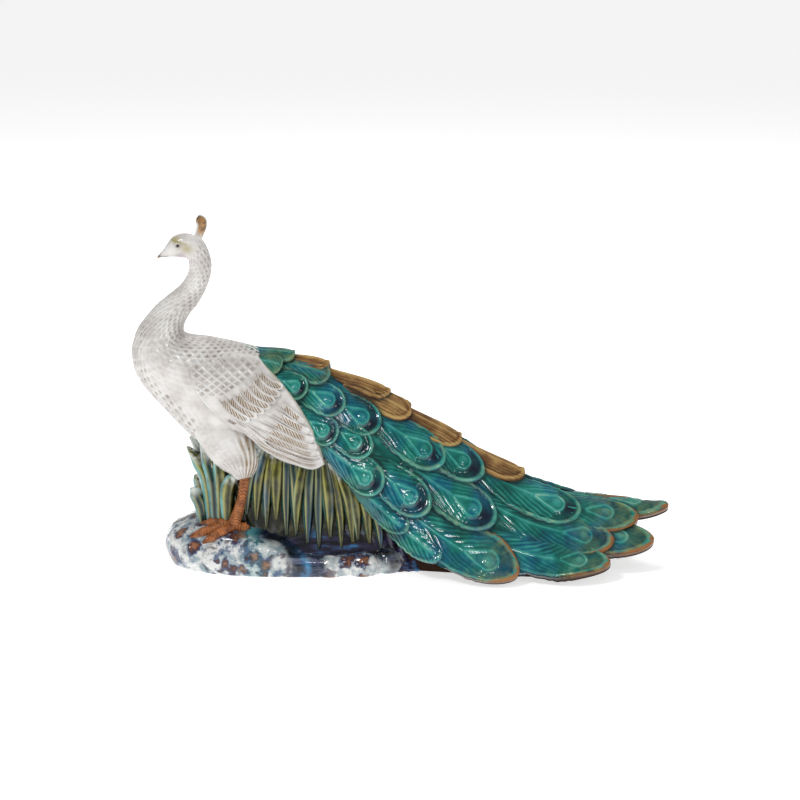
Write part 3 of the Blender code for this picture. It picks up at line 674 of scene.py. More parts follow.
    def model(self) -> tuple[Array, Masks]:
        """Carve the feather.

        Returns:
            The carved height over the plate, and the masks of the glaze.
        """
        s, t = self.grid.s, self.grid.t
        half = self.outline(s)
        x = t * half
        full = self.width / 2
        past = np.clip(s - self.shoulder, 0, 1) / (1 - self.shoulder)
        brim = np.where(s < self.shoulder, np.abs(t), np.sqrt(t * t * (half / full) ** 2 + past ** 2))
        eyed = 0.0 if self.plan.kind in (FeatherKind.LEAF, FeatherKind.RIDGE) else 1.0
        below_share, faint, rim_rise = (0.35, 0.4, 0.4) if self.ended else (1.0, 1.0, 1.15)
        ring, boss, inside, below = self.eye(s, x)
        comb = self.comb(s, x)
        near_eye = eyed * (1 - smooth(1.15, 1.75, inside)) + eyed * below * below_share
        span = self.barb_reach(brim, near_eye)
        barbs = comb * span
        shaft = bell(x, self.shaft_width) * (1 - eyed * smooth(0.50, 0.56, s)) * (1 - smooth(0.86, 0.95, s))
        rim = bell((brim - self.rim_place) * full, self.rim_width) * smooth(0.30, 0.62, s)
        bowl = eyed * below * smooth(1.05, 1.5, inside) * (1 - smooth(0.70, 0.90, brim)) * faint
        round_off = smooth(0.92, 1.0, brim) ** 2
        crown = 0.05 * self.width * (1 - t * t) * (1 - 0.35 * eyed * below)
        relief = 0.95 * barbs + shaft + rim_rise * rim + eyed * (0.9 * ring + 1.5 * boss)
        height = crown + self.rib * relief - self.bowl_depth * bowl - self.edge_drop * round_off
        pool = eyed * bell(x, 0.36 * full) * smooth(0.98, 1.12, inside) * below
        pool = pool * (1 - smooth(0.70, 0.86, brim)) * faint
        tone = 0.40 + 0.44 * (comb - 0.45) * span + 0.34 * rim + 0.30 * shaft
        tone = tone + eyed * (0.36 * ring + 0.14 * boss) - 0.20 * bowl - 0.45 * round_off
        tone = tone + 0.09 * waver(self.seed + 11, s * 4, x * 50) - 0.18 * bell((brim - 0.78) * full, 0.0009)
        tone = tone * (1 - 0.35 * rim * (0.5 + 0.5 * waver(self.seed + 17, s * 12, t * 7)))
        patch = 0.5 + 0.5 * waver(self.seed + 3.0, s * 9, x * 130)
        yellow = patch ** 2 * 0.9 * barbs * smooth(0.40, 0.85, np.abs(t)) + (0.3 + 0.5 * patch) * rim
        if self.ended or self.plan.kind is FeatherKind.LEAF and self.plan.along < 0.2:
            wash = 0.42 + 0.30 * waver(self.seed + 15, s * 5, x * 60)
            yellow = yellow + wash * (smooth(0.5, 0.9, s) if self.ended else 1)
        return height, {"tone": tone, "pool": pool, "yellow": yellow, "brim": brim}

    def eye(self, s: Array, x: Array) -> tuple[Array, Array, Array, Array]:
        """Model the drop-shaped eye.

        Args:
            s: Places along the feather.
            x: Places aside of the shaft, in metres.

        Returns:
            Its ring, its boss, the distance from its middle in eye sizes, and the part below it.
        """
        size = self.eye_size * self.width
        y = (s - self.eye_centre) * self.length
        climb = -y / (self.eye_length * size)
        back = np.clip(climb, 0, 1)
        half = size * np.maximum((1 - back) ** 0.85, 0.02)
        inside = np.where(y < 0, np.abs(x) / half + 4 * np.clip(climb - 1, 0, 9), np.hypot(x, y) / size)
        gap = (inside - 1) * np.where(y < 0, half, size)
        ring = bell(gap, self.ring_width) * (back < 0.999)
        boss = 1 - smooth(0.25, 0.72, np.sqrt(x * x + (y - 0.1 * size) ** 2) / size)
        below = smooth(-0.2 * size, 0.5 * size, y)
        return ring, boss, inside, below

    def colours(self, masks: Masks) -> Masks:
        """Add the rust and the gold that belong to this sort of feather.

        Args:
            masks: Masks of the glaze so far.

        Returns:
            The masks with these added.
        """
        s, brim = self.grid.s, masks["brim"]
        rust = np.zeros_like(s)
        if self.ended:
            ragged = 0.085 * waver(self.seed + 6, s * 16, self.grid.t * 6)
            rust = 0.9 * smooth(0.89, 0.98, brim + ragged) * smooth(0.60, 0.85, s)
            olive = smooth(0.70, 0.92, brim) * (0.55 + 0.45 * waver(self.seed + 19, s * 13, self.grid.t * 5))
            masks["yellow"] = masks["yellow"] + 1.1 * olive * smooth(0.55, 0.85, s)
        gold = np.zeros_like(s)
        if self.plan.kind is FeatherKind.RIDGE:
            gold = np.ones_like(s)
            masks["tone"] = masks["tone"] + 0.08
        masks.update(rust=rust, gold=gold)
        return masks

    def cast(self, casting: Casting, crevice_shade: Array) -> None:
        """Add the feather to a casting.

        Args:
            casting: Casting that takes the feather.
            crevice_shade: Painted shade, strongest where a point lies near the edge of a feather above it.
        """
        height, masks = self.model()
        masks = self.colours(masks)
        top = self.surface(height)
        foot_height = (self.plan.lift * self.lift_unit * self.s - self.sink - self.thickness)[:, None]
        edge = slice(None, None, self.grid.t.shape[1] - 1)
        foot = self.grid.base[:, edge] + self.grid.normal[:, edge] * foot_height[..., None]
        # Painted shade on the feather under the edges of the feathers above it.
        masks["crevice_shade"] = crevice_shade
        bare_clay_and_shade = float(self.ended)
        gold = float(self.plan.kind is FeatherKind.RIDGE)
        # The underside and the walls of the feather are painted in deep shade.
        casting.add_leaf(top, foot, masks, {"tone": 0.1, "bare_clay_and_shade": bare_clay_and_shade, "crevice_shade": 1.0, "gold": gold})

    def surface(self, height: Array) -> Array:
        """Return the points of the feather's top."""
        lift = self.plan.lift * self.lift_unit * smooth(0.0, 0.9, self.grid.s) - self.sink
        return self.grid.base + self.grid.normal * (height + lift)[..., None]

    def border(self) -> Array:
        """Return points along the free edge of the feather."""
        height, _ = self.model()
        top = self.surface(height)
        rows = np.arange(len(self.s) // 3, len(self.s), 2)
        return np.concatenate([top[rows, 0], top[rows, -1], top[-1, ::3]])


class Train:
    """The train: its feathers of both sides, the shell under them and the wall that carries it, bare clay
    painted dark as shade.
    """

    MASKS = ("tone", "pool", "yellow", "rust", "gold", "crevice_shade", "bare_clay_and_shade")
    REACH = 0.004
    SHADOW = 0.0026
    SHELL_SINK = 0.0045
    SHELL_THICKNESS = 0.006
    WALL_SINK = 0.0055

    def __init__(self) -> None:
        """Lay out all the feathers."""
        self.form = TrainForm()
        self.feathers: list[TrainFeather] = []
        order = 0
        for plan in TRAIN_FEATHERS:
            for side in ((-1, 1) if plan.across > 0 else (1,)):
                self.feathers.append(TrainFeather(plan, side, order))
                order += 1

    def crevice_shades(self) -> list[Array]:
        """Return for each feather its painted shade, strongest where its points lie near the edge of a
        feather above it.
        """
        borders = [feather.border() for feather in self.feathers]
        boxes = [(b.min(0), b.max(0)) for b in borders]
        shades = []
        for n, feather in enumerate(self.feathers):
            height, _ = feather.model()
            top = feather.surface(height)
            low, high = top.reshape(-1, 3).min(0), top.reshape(-1, 3).max(0)
            near = np.full(top.shape[:2], 1.0)
            over = [borders[m] for m in range(n + 1, len(borders))
                    if np.all(boxes[m][0] < high + self.REACH) and np.all(boxes[m][1] > low - self.REACH)]
            if over:
                points = np.concatenate(over)
                close = (points > low - self.REACH) & (points < high + self.REACH)
                points = points[np.all(close, axis=1)]
                if len(points):
                    tree = KDTree(len(points))
                    for i, point in enumerate(points.tolist()):
                        tree.insert(point, i)
                    tree.balance()
                    flat = [tree.find(point)[2] for point in top.reshape(-1, 3).tolist()]
                    near = np.array(flat).reshape(top.shape[:2])
            # Painted shade: the glaze is darkened near the edge of each feather above.
            shades.append(bell(near, self.SHADOW))
        return shades

    def build(self, shift: Vector, glaze: Material) -> list[Piece]:
        """Cast the train's pieces.

        Args:
            shift: Where the drawing's zero lies in the row frame.
            glaze: The train's glaze.

        Returns:
            The pieces.
        """
        near = Casting("train_feathers_left", self.MASKS)
        far = Casting("train_feathers_right", self.MASKS)
        ridge = Casting("train_feathers_ridge", self.MASKS)
        for feather, crevice_shade in zip(self.feathers, self.crevice_shades()):
            home = ridge if feather.plan.across < 0.15 else near if feather.side < 0 else far
            feather.cast(home, crevice_shade)
        pieces = [home.build(shift, glaze) for home in (near, far, ridge)]
        pieces.append(self.shell().build(shift, glaze))
        return pieces

    def shell(self) -> Casting:
        """Return the plain shell under the feathers, with the wall that stands on the ground.
        The shell is painted partly in shade; the wall is bare clay painted dark as shade.
        """
        casting = Casting("train_shell", self.MASKS)
        a, r = np.meshgrid(np.linspace(-0.94, 0.94, 91), np.linspace(-0.06, 0.90, 121), indexing="ij")
        a = a * (1 - 0.42 * smooth(0.55, 0.90, r))
        skin = self.form(a, r)
        normal = outward(self.form, a, r, 1.0)
        streak = 0.5 + 0.5 * np.cos(a * 60 + 3 * waver(2.0, r * 9, a * 6))
        top = skin + normal * (0.0006 * streak - self.SHELL_SINK)[..., None]
        foot_rows = skin - normal * (self.SHELL_SINK + self.SHELL_THICKNESS)
        # Painted shade: the shell under the feathers is lightly darkened.
        masks = {"tone": 0.22 + 0.25 * streak, "crevice_shade": 0.25, "yellow": 0.3 * streak * np.abs(a) ** 3}
        casting.add_leaf(top.transpose(1, 0, 2), foot_rows.transpose(1, 0, 2)[:, ::90],
                         {name: np.broadcast_to(value, a.shape).T for name, value in masks.items()},
                         {"bare_clay_and_shade": 1.0})
        a, r = np.meshgrid(np.linspace(-0.52, 0.52, 41), np.linspace(-0.02, 0.84, 61), indexing="ij")
        skin = self.form(a, r)
        top = skin - outward(self.form, a, r, 1.0) * self.WALL_SINK
        top[..., 1] *= 0.92
        border = self.wall_line(top)
        ground = border * np.array([1.0, 1.0, 0.0])
        wall = [border * (1 - share) + ground * share for share in np.linspace(0, 1, 12)]
        # The wall is bare clay painted near black, standing in for the shade under the train.
        casting.add_loft(np.array(wall), {"bare_clay_and_shade": 1.0, "tone": 0.1})
        return casting

    @staticmethod
    def wall_line(top: Array) -> Array:
        """Return the closed line round the edge of a grid."""
        return np.concatenate([top[:-1, 0], top[-1, :-1], top[:0:-1, -1], top[0, :0:-1]])


@dataclass(frozen=True)
class BodyForm:
    """Loft of head, neck, breast and belly.

    Each row holds the back's x and z, the front's x and z, and the half width as a share of the
    body's width; the places are shares of the height.
    """

    rows: tuple = (
        (-0.6755, 0.8780, -0.6748, 0.8742, 0.016), (-0.6530, 0.9044, -0.6524, 0.8768, 0.053),
        (-0.6302, 0.9343, -0.6273, 0.8771, 0.105), (-0.5920, 0.9438, -0.5984, 0.8740, 0.116),
        (-0.5524, 0.9270, -0.5889, 0.8667, 0.111), (-0.5308, 0.8794, -0.5863, 0.8540, 0.113),
        (-0.5283, 0.8381, -0.5892, 0.8333, 0.119), (-0.5422, 0.7917, -0.6111, 0.7987, 0.133),
        (-0.5651, 0.7492, -0.6556, 0.7613, 0.165), (-0.5911, 0.7156, -0.6970, 0.7229, 0.223),
        (-0.6076, 0.6825, -0.7360, 0.6762, 0.289), (-0.6054, 0.6570, -0.7515, 0.6279, 0.361),
        (-0.5746, 0.6480, -0.7525, 0.5778, 0.416), (-0.5305, 0.6440, -0.7320, 0.5219, 0.464),
        (-0.4689, 0.6320, -0.6640, 0.4403, 0.500), (-0.4016, 0.6160, -0.5759, 0.3505, 0.494),
        (-0.3232, 0.5950, -0.4549, 0.2914, 0.452), (-0.2308, 0.5759, -0.2902, 0.2943, 0.325))
    width: float = BODY_WIDTH

    def __call__(self, t: Array, turn: Array) -> tuple[Array, Array]:
        """Lay points on the loft.

        Args:
            t: Places from beak to rump, 0 to 1.
            turn: Turn around it, 0 at the back and half a circle at the front.

        Returns:
            The points and their outward normals.
        """
        row = curve(self.rows, t)
        zero = np.zeros_like(row[..., 0])
        back = np.stack([row[..., 0], zero, row[..., 1]], -1) * FIGURE_HEIGHT
        front = np.stack([row[..., 2], zero, row[..., 3]], -1) * FIGURE_HEIGHT
        up = unit(back - front)
        tall = np.linalg.norm(back - front, axis=-1) / 2
        half = np.maximum(row[..., 4] * self.width, 0.0012)
        c, s = np.cos(turn), np.sin(turn)
        point = (back + front) / 2 + up * (tall * c)[..., None]
        point[..., 1] += half * s
        normal = up * (c / np.maximum(tall, 1e-5))[..., None]
        normal[..., 1] += s / half
        return point, unit(normal)


@dataclass(frozen=True)
class FishScales:
    """Net of raised lines round overlapping scales on the neck and breast."""

    line: float = 0.00070
    depth: float = 0.00100

    def cover(self, row: Array, column: Array, tall: float, wide: Array) -> tuple[Array, Array, Array]:
        """Return how much of each place is line and how deep it lies in a scale.

        Args:
            row: Place down the pattern, one unit a row of scales.
            column: Place across the pattern, one unit a scale.
            tall: Height of a row in metres.
            wide: Width of a scale in metres.

        Returns:
            The strength of the line, of the hollow and of the painted shadow just below the line, all 0 to
            1.
        """
        k = np.floor(row)
        y = row - k
        x = np.mod(column + 0.5 * np.mod(k, 2), 1.0) - 0.5
        nearest = None
        for shift in (-1, 0, 1):
            side = np.where(shift == 0, x, np.abs(x) - 0.5)
            arc = (1 - 4 * side * side) - (0 if shift == 0 else np.sign(shift))
            slope = 8 * side * tall / wide
            gap = np.abs(y - arc) * tall / np.sqrt(1 + slope * slope)
            nearest = gap if nearest is None else np.minimum(nearest, gap)
        # Painted shadow: a dark band just below each scale's line, at the top of the next row.
        shade_below_line = smooth(0.9 * self.line, 1.6 * self.line, nearest) * (1 - smooth(0.35, 0.70, y))
        return bell(nearest, self.line), 1 - bell(nearest, 2.2 * self.line), shade_below_line


class Bird:
    """Head, neck, breast, eyes and crest in white glaze."""

    MASKS = ("recess_stain_and_shade", "tan", "blush", "mauve", "beak", "dark", "crevice_shade", "gold")
    UNDER_TRAIN = 0.0045
    SCALE_INSET = 0.0014
    EYE = (-0.6155, 0.9135)
    BEAD = (0.00135, 0.0012, 0.00125)
    CREST = ((-0.5680, 0.9150, 0.0120, 0.0120), (-0.5600, 0.9330, 0.0115, 0.0105),
             (-0.5540, 0.9500, 0.0125, 0.0110), (-0.5500, 0.9673, 0.0145, 0.0140),
             (-0.5530, 0.9795, 0.0155, 0.0150), (-0.5650, 0.9855, 0.0110, 0.0110))
    ZONES = ((3.6, 8.2, 15, 0.0042), (7.8, 11.0, 26, 0.0052), (10.6, 19.0, 38, 0.0064))

    def __init__(self) -> None:
        """Set up the form and the scales."""
        self.form = BodyForm()
        self.scales = FishScales()
        self.last = len(self.form.rows) - 1

    def build(self, shift: Vector, glaze: Material,
              bead: Material) -> list[Piece]:
        """Cast the pieces of the bird's front.

        Args:
            shift: Where the drawing's zero lies in the row frame.
            glaze: The white glaze.
            bead: The black glaze of the eyes.

        Returns:
            The pieces.
        """
        pieces = [self.part("head_and_neck", 0.0, 8.6 / self.last, 230, 100).build(shift, glaze),
                  self.part("breast_and_back", 8.4 / self.last, 1.0, 230, 260).build(shift, glaze),
                  self.crest().build(shift, glaze), self.eyes().build(shift, bead)]
        return pieces

    def part(self, name: str, start: float, end: float, rows: int, columns: int) -> Casting:
        """Model a stretch of the loft with its scales.

        Args:
            name: Name of the piece.
            start: Place along the loft where it starts.
            end: Place along the loft where it ends.
            rows: Points along it.
            columns: Points around it.

        Returns:
            The casting.
        """
        casting = Casting(name, self.MASKS)
        turns = full_turn(columns)
        t, turn = np.meshgrid(np.linspace(start, end, rows), turns, indexing="ij")
        point, normal = self.form(t, turn)
        if start > 0:
            inset = 0.0022 * (1 - smooth(start, start + 0.012, t))
            behind = smooth(-0.400, -0.375, point[..., 0] / FIGURE_HEIGHT)
            under_train = behind * smooth(-0.2, 0.4, np.cos(turn))
            front = smooth(start, start + 0.08, t) * smooth(0.0, 0.6, -np.cos(turn))
            inset = inset + self.SCALE_INSET * front
            point = point - normal * (inset + self.UNDER_TRAIN * under_train)[..., None]
        height, masks = self.feathering(t, turn)
        head, head_masks = self.face(point, t)
        for key, value in head_masks.items():
            masks[key] = np.maximum(masks.get(key, 0.0), value)
        point = point + normal * (height + head)[..., None]
        casting.add_loft(point, masks)
        return casting

    def feathering(self, t: Array, turn: Array) -> tuple[Array, Masks]:
        """Model the scales over the loft.

        Args:
            t: Places along the loft.
            turn: Turn around it.

        Returns:
            The height over the loft, and where the beige stain and the painted shadow below each scale line
            lie.
        """
        place = t * self.last
        centre = self.form(t, np.zeros_like(t))[0] * 0.5 + self.form(t, np.full_like(t, math.pi))[0] * 0.5
        run = np.concatenate([[0.0], np.cumsum(np.linalg.norm(np.diff(centre[:, 0], axis=0), axis=1))])
        down = run[:, None] + 0.0 * turn
        row = curve(self.form.rows, t)
        deepness = FIGURE_HEIGHT * np.hypot(row[..., 0] - row[..., 2], row[..., 1] - row[..., 3])
        girth = math.pi * (np.abs(row[..., 4]) * self.form.width + 0.5 * deepness)
        line = np.zeros_like(t)
        deep = np.zeros_like(t)
        stain_and_shade = np.zeros_like(t)
        for first, final, count, tall in self.ZONES:
            weight = smooth(first, first + 0.8, place) * (1 - smooth(final, final + 0.8, place))
            bend = 0.12 * waver(count, place * 2.0, turn * 3)
            across = turn / math.tau * count
            on, hollow, shade_below_line = self.scales.cover(down / tall + bend, across, tall, girth / count)
            line = line + weight * on
            deep = deep + weight * hollow
            stain_and_shade = stain_and_shade + weight * shade_below_line
        back = np.cos(turn)
        calm = smooth(-0.72, -0.40, back) * (1 - smooth(0.20, 0.62, back)) * smooth(9.0, 11.0, place)
        throat = (1 - smooth(-0.35, 0.45, back)) * (1 - smooth(7.6, 9.4, place))
        patch = 0.12 * waver(6.0, place * 2.3, back * 4)
        fade = 1 - np.clip(0.86 * calm + 0.50 * throat + patch, 0, 0.9)
        lumps = 0.0011 * waver(4.0, place * 4.5, turn * 6) * calm
        soft = 1 - 0.45 * np.clip(calm + throat, 0, 1)
        height = self.scales.depth * (line - 0.75 * deep) * soft + lumps
        spots = 0.70 + 0.25 * waver(9.0, place * 7, turn * 19)
        # The hollows' colour holds the beige stain and the painted shadow below each scale line.
        return height, {"recess_stain_and_shade": np.clip(stain_and_shade - line, 0, 1) * spots * fade ** 1.5}

    def face(self, point: Array, t: Array) -> tuple[Array, Masks]:
        """Return the relief and the tints of the head.

        Args:
            point: Points of the loft.
            t: Places along the loft.

        Returns:
            The height over the loft, and the masks of the glaze.
        """
        x, z = point[..., 0] / FIGURE_HEIGHT, point[..., 2] / FIGURE_HEIGHT
        eye_x, eye_z = self.EYE
        eye = np.hypot(x - eye_x, z - eye_z)
        lid = bell(eye - 0.0082, 0.0026)
        socket = 0.0006 * lid - 0.0004 * bell(eye, 0.006) - 0.0003 * bell(eye - 0.0150, 0.004)
        mouth_z = 0.8790 + 0.10 * (x + 0.6755)
        on_beak = 1 - smooth(-0.673, -0.660, x)
        mouth = bell(z - mouth_z, 0.0011) * (1 - smooth(-0.652, -0.640, x)) * 0.8
        cere = bell(x + 0.650, 0.004) * 0.0005
        cheek = bell(np.hypot((x + 0.590) / 1.4, z - 0.905), 0.012)
        brow = bell(np.hypot((x + 0.622) / 1.6, z - 0.931), 0.009)
        streak = bell(z - 0.9235 + 0.25 * (x - eye_x), 0.0035) * smooth(-0.640, -0.625, x)
        streak = streak * (1 - smooth(-0.600, -0.585, x))
        blush = cheek + brow + 0.7 * streak
        mauve = bell(np.hypot(x + 0.607, z - 0.886), 0.012) + 0.5 * bell(z - 0.868, 0.010)
        # Painted shade round the eye, laid into the hollows' colour.
        shade = bell(np.hypot((x - eye_x) / 1.5, z - eye_z), 0.0085)
        height = (socket - 0.0007 * mouth + cere) * (t * self.last < 5)
        shown = (t * self.last < 5) * 1.0
        return height, {"blush": 0.8 * blush * shown, "mauve": 0.5 * mauve * shown, "beak": on_beak * shown,
                        "dark": mouth * shown, "recess_stain_and_shade": 0.7 * shade * shown}

    def eyes(self) -> Casting:
        """Return the two glossy eye beads."""
        casting = Casting("eye_beads", ("dark",))
        bead = ball(18, 28)[..., [0, 2, 1]] * np.array(self.BEAD)
        for side in (-1, 1):
            turn = np.linspace(0, math.pi, 200)
            ring, _ = self.form(np.full_like(turn, 2.55 / self.last), turn)
            eye_x, eye_z = (share * FIGURE_HEIGHT for share in self.EYE)
            nearest = ring[np.argmin(np.abs(ring[:, 2] - eye_z))]
            centre = np.array([eye_x, side * (abs(nearest[1]) - 0.0004), eye_z])
            casting.add_loft(bead + centre, {"dark": 1.0})
        return casting

    def crest(self) -> Casting:
        """Return the crest, a paddle that curls forward."""
        t = np.linspace(0, 1, 90)
        row = curve(np.array(self.CREST) * FIGURE_HEIGHT, t)
        centre = np.stack([row[:, 0], 0 * t, row[:, 1]], -1)
        along = unit(np.gradient(centre, axis=0))
        across = np.cross(along, np.array([0.0, 1.0, 0.0]))
        turn = full_turn(56)
        c, s = np.cos(turn), np.sin(turn)
        grid_t, grid_turn = np.meshgrid(t, turn, indexing="ij")
        rib = 1 + 0.035 * np.cos(grid_turn * 12) * smooth(0.1, 0.4, grid_t)
        end = np.sqrt(np.clip(1 - smooth(0.93, 1.0, grid_t) ** 2, 0.02, 1))
        point = (centre[:, None] + across[:, None] * (row[:, 2, None] * c * rib * end)[..., None]
                 + np.array([0.0, 1.0, 0.0]) * (row[:, 3, None] * s * rib * end)[..., None])
        spine = np.cos(grid_turn)
        gold = smooth(0.10, 0.50, grid_t) * (1 - smooth(0.35, 0.85, spine))
        gold = gold * (1 - 0.7 * bell(spine + 1, 0.12))
        recess_stain_and_shade = 0.4 * smooth(0.5, 1, np.cos(grid_turn * 12)) * gold
        casting = Casting("crest", self.MASKS)
        casting.add_loft(point, {"gold": gold, "recess_stain_and_shade": recess_stain_and_shade})
        return casting


@dataclass(frozen=True)
class WingFeather:
    """One leaf of a wing.

    The start and end are places (u, v) on the wing's skin; bow is how far its middle strays from
    the straight line between them.
    """

    start: tuple[float, float]
    end: tuple[float, float]
    bow: tuple[float, float]
    width: float
    lift: float
    depth: float
    root: float
    shoulder: float
    seed: float
    white_end: float = 1.0
    barb: float = 0.0031
    rib: float = 0.00095
    rows: int = 84
    columns: int = 20

    def cast(self, casting: Casting, form: WingForm) -> None:
        """Add the leaf to a casting.

        Args:
            casting: Casting that takes the leaf.
            form: Skin of the wing.
        """
        s = np.linspace(0, 1, self.rows)
        (u0, v0), (u1, v1) = self.start, self.end
        swell = np.sin(s * math.pi)
        a = u0 + (u1 - u0) * s + self.bow[0] * swell
        r = v0 + (v1 - v0) * s + self.bow[1] * swell
        k = self.shoulder
        rising = self.root + (1 - self.root) * np.sin(np.clip(s / 0.3, 0, 1) * math.pi / 2)
        falling = np.sqrt(np.clip(1 - ((s - k) / (1 - k)) ** 2, 0, 1))
        half = np.maximum(np.where(s < k, rising, falling), 0.06) * self.width / 2
        t = np.linspace(-1, 1, self.columns + 1)
        grid = lay_leaf(form, a, r, half, t, -form.side)
        length = np.sum(np.linalg.norm(np.diff(form(a, r), axis=0), axis=1))
        x = grid.t * half[:, None]
        past = np.clip(grid.s - k, 0, 1) / (1 - k)
        brim = np.where(grid.s < k, np.abs(grid.t), np.hypot(x / (self.width / 2), past))
        bend = 0.30 * waver(self.seed, grid.s * 9, x * 300)
        slant = (grid.s * length - form.side * 1.3 * x) / self.barb + bend
        inner = (1 - smooth(0.50, 0.74, brim)) * (1 - smooth(self.white_end - 0.12, self.white_end, grid.s))
        barbs = (0.5 + 0.5 * np.cos(math.tau * slant)) ** 1.5 * inner
        rim = bell((brim - 0.88) * self.width / 2, self.rib) * smooth(0.0, 0.12, grid.s)
        lift = self.lift * smooth(0.0, 0.5, grid.s)
        if self.white_end < 1.0:
            lift = lift * (1 - 0.9 * smooth(self.white_end - 0.1, 1.0, grid.s))
        height = lift + 0.00105 * rim + 0.00070 * barbs - 0.00080 * inner
        height = height - 0.0006 * smooth(0.94, 1.0, brim)
        top = grid.base + grid.normal * height[..., None]
        foot = grid.base[:, ::self.columns] - grid.normal[:, ::self.columns] * self.depth
        gap = inner * smooth(0.25, 0.75, 1 - barbs) * smooth(0.02, 0.10, grid.s)
        # Painted shade along each leaf's edge and on its underside; the tan between the barbs is the glaze's
        # own.
        masks = {"tan": gap, "crevice_shade": 0.7 * smooth(0.95, 1.0, brim)}
        casting.add_leaf(top, foot, masks, {"recess_stain_and_shade": 0.8})


class Wing:
    """One folded wing: the scaled shoulder, the coverts and the flight feathers."""

    FLIGHT = 7
    COVERTS = 7
    FLIGHT_WIDTH = 0.0068
    COVERT_WIDTH = 0.0072
    DEPTH = 0.004
    NET_TILT = 36
    NET_PITCH = 0.0052
    NET_LINE = 0.00085

    def __init__(self, side: int, name: str) -> None:
        """Set up the wing of one side, -1 for the bird's left."""
        self.side = side
        self.name = name
        self.form = WingForm(side)

    def feathers(self) -> list[WingFeather]:
        """Return the wing's leaves from the lowest to the one that lies on top."""
        leaves = []
        for n in range(self.FLIGHT):
            share = n / (self.FLIGHT - 1)
            start = (0.10 + 0.73 * share, 0.84 - 0.40 * share)
            end = (0.99 - 0.04 * share, 0.965 - 0.32 * share ** 1.5)
            leaves.append(WingFeather(start, end, bow=(0.0, 0.015), width=self.FLIGHT_WIDTH,
                                      lift=0.0010 + 0.0008 * share, depth=self.DEPTH, root=0.9,
                                      shoulder=0.93, seed=1.3 * n, white_end=0.90 - 0.12 * share))
        for n in range(self.COVERTS):
            share = n / (self.COVERTS - 1)
            start = (0.25 + 0.59 * share, 0.455 - 0.29 * share)
            end = (0.45 + 0.53 * share, 0.62 - 0.29 * share)
            leaves.append(WingFeather(start, end, bow=(-0.055, 0.03), width=self.COVERT_WIDTH,
                                      lift=0.0024, depth=self.DEPTH, root=0.9, shoulder=0.80,
                                      seed=20 + 1.7 * n))
        return leaves

    def build(self, shift: Vector, glaze: Material) -> list[Piece]:
        """Cast the wing.

        Args:
            shift: Where the drawing's zero lies in the row frame.
            glaze: The white glaze.

        Returns:
            The wing, one piece.
        """
        casting = Casting(self.name, Bird.MASKS)
        self.skin(casting)
        for leaf in self.feathers():
            leaf.cast(casting, self.form)
        return [casting.build(shift, glaze)]

    def skin(self, casting: Casting) -> None:
        """Add the wing's own skin with diamond scales on its shoulder.

        Args:
            casting: Casting that takes the skin.
        """
        u, v = np.meshgrid(np.linspace(0, 1, 141), np.linspace(0, 1, 133), indexing="ij")
        point = self.form(u, v)
        normal = outward(self.form, u, v, -self.side)
        tilt, pitch = math.radians(self.NET_TILT), self.NET_PITCH
        rise, run = point[..., 2] * math.cos(tilt), point[..., 0] * math.sin(tilt)
        lines = [np.abs(np.mod((rise + sign * run) / pitch, 1.0) - 0.5) * pitch for sign in (1, -1)]
        net = np.maximum(*(bell(line, self.NET_LINE) for line in lines))
        hollow = np.minimum(*(smooth(0.0006, 0.0017, line) for line in lines))
        border = 0.46 - 0.51 * (u - 0.23)
        region = (1 - smooth(border - 0.02, border + 0.02, v)) * smooth(0.02, 0.08, v) * smooth(0.0, 0.06, u)
        edge = np.minimum(np.minimum(u, 1 - u), np.minimum(v, 1 - v))
        fold = bell(u - 0.045, 0.025) * smooth(0.05, 0.2, v)
        height = 0.0008 * net * region - 0.0009 * (1 - net) * region
        height = height - 0.0016 * (1 - smooth(0.0, 0.04, edge)) ** 2 + 0.0010 * fold
        top = point + normal * height[..., None]
        warm = 0.66 + 0.34 * waver(3.0, point[..., 0] * 130, point[..., 2] * 130)
        # Painted shade along the wing's front edge; beige stain and painted shade in the hollows of the net.
        masks = {"recess_stain_and_shade": 0.9 * region * hollow * warm, "crevice_shade": 0.45 * (1 - smooth(0.0, 0.02, u)),
                 "blush": 0.5 * smooth(0.972, 0.995, u)}
        inner = top[:, ::132].copy()
        inner[..., 1] -= self.side * 0.10 * FIGURE_HEIGHT
        inner[..., 1] = self.side * np.maximum(self.side * inner[..., 1], 0.0)
        casting.add_leaf(top, inner, masks, {})


@dataclass(frozen=True)
class Spindle:
    """A tapering limb along a smooth path."""

    path: tuple
    widths: tuple
    depths: tuple
    side: tuple = (1.0, 0.0, 0.0)

    def rings(self, rows: int, columns: int) -> tuple[Array, Array, Array, Array]:
        """Model the limb.

        Args:
            rows: Points along the limb.
            columns: Points around it.

        Returns:
            The rings, their outward directions, the places along and the turns around.
        """
        t = np.linspace(0, 1, rows)
        centre = curve(self.path, t)
        width = np.maximum(curve(np.asarray(self.widths, float)[:, None], t)[:, 0], 2e-4)
        depth = np.maximum(curve(np.asarray(self.depths, float)[:, None], t)[:, 0], 2e-4)
        along = unit(np.gradient(centre, axis=0))
        first = np.broadcast_to(np.asarray(self.side, float), centre.shape)
        first = unit(first - along * np.sum(first * along, axis=1, keepdims=True))
        second = np.cross(along, first)
        turn = full_turn(columns)
        c, s = np.cos(turn)[None, :, None], np.sin(turn)[None, :, None]
        spoke = first[:, None] * c * width[:, None, None] + second[:, None] * s * depth[:, None, None]
        out = unit(first[:, None] * c / width[:, None, None] + second[:, None] * s / depth[:, None, None])
        grid_t, grid_turn = np.meshgrid(t, turn, indexing="ij")
        return centre[:, None] + spoke, out, grid_t, grid_turn


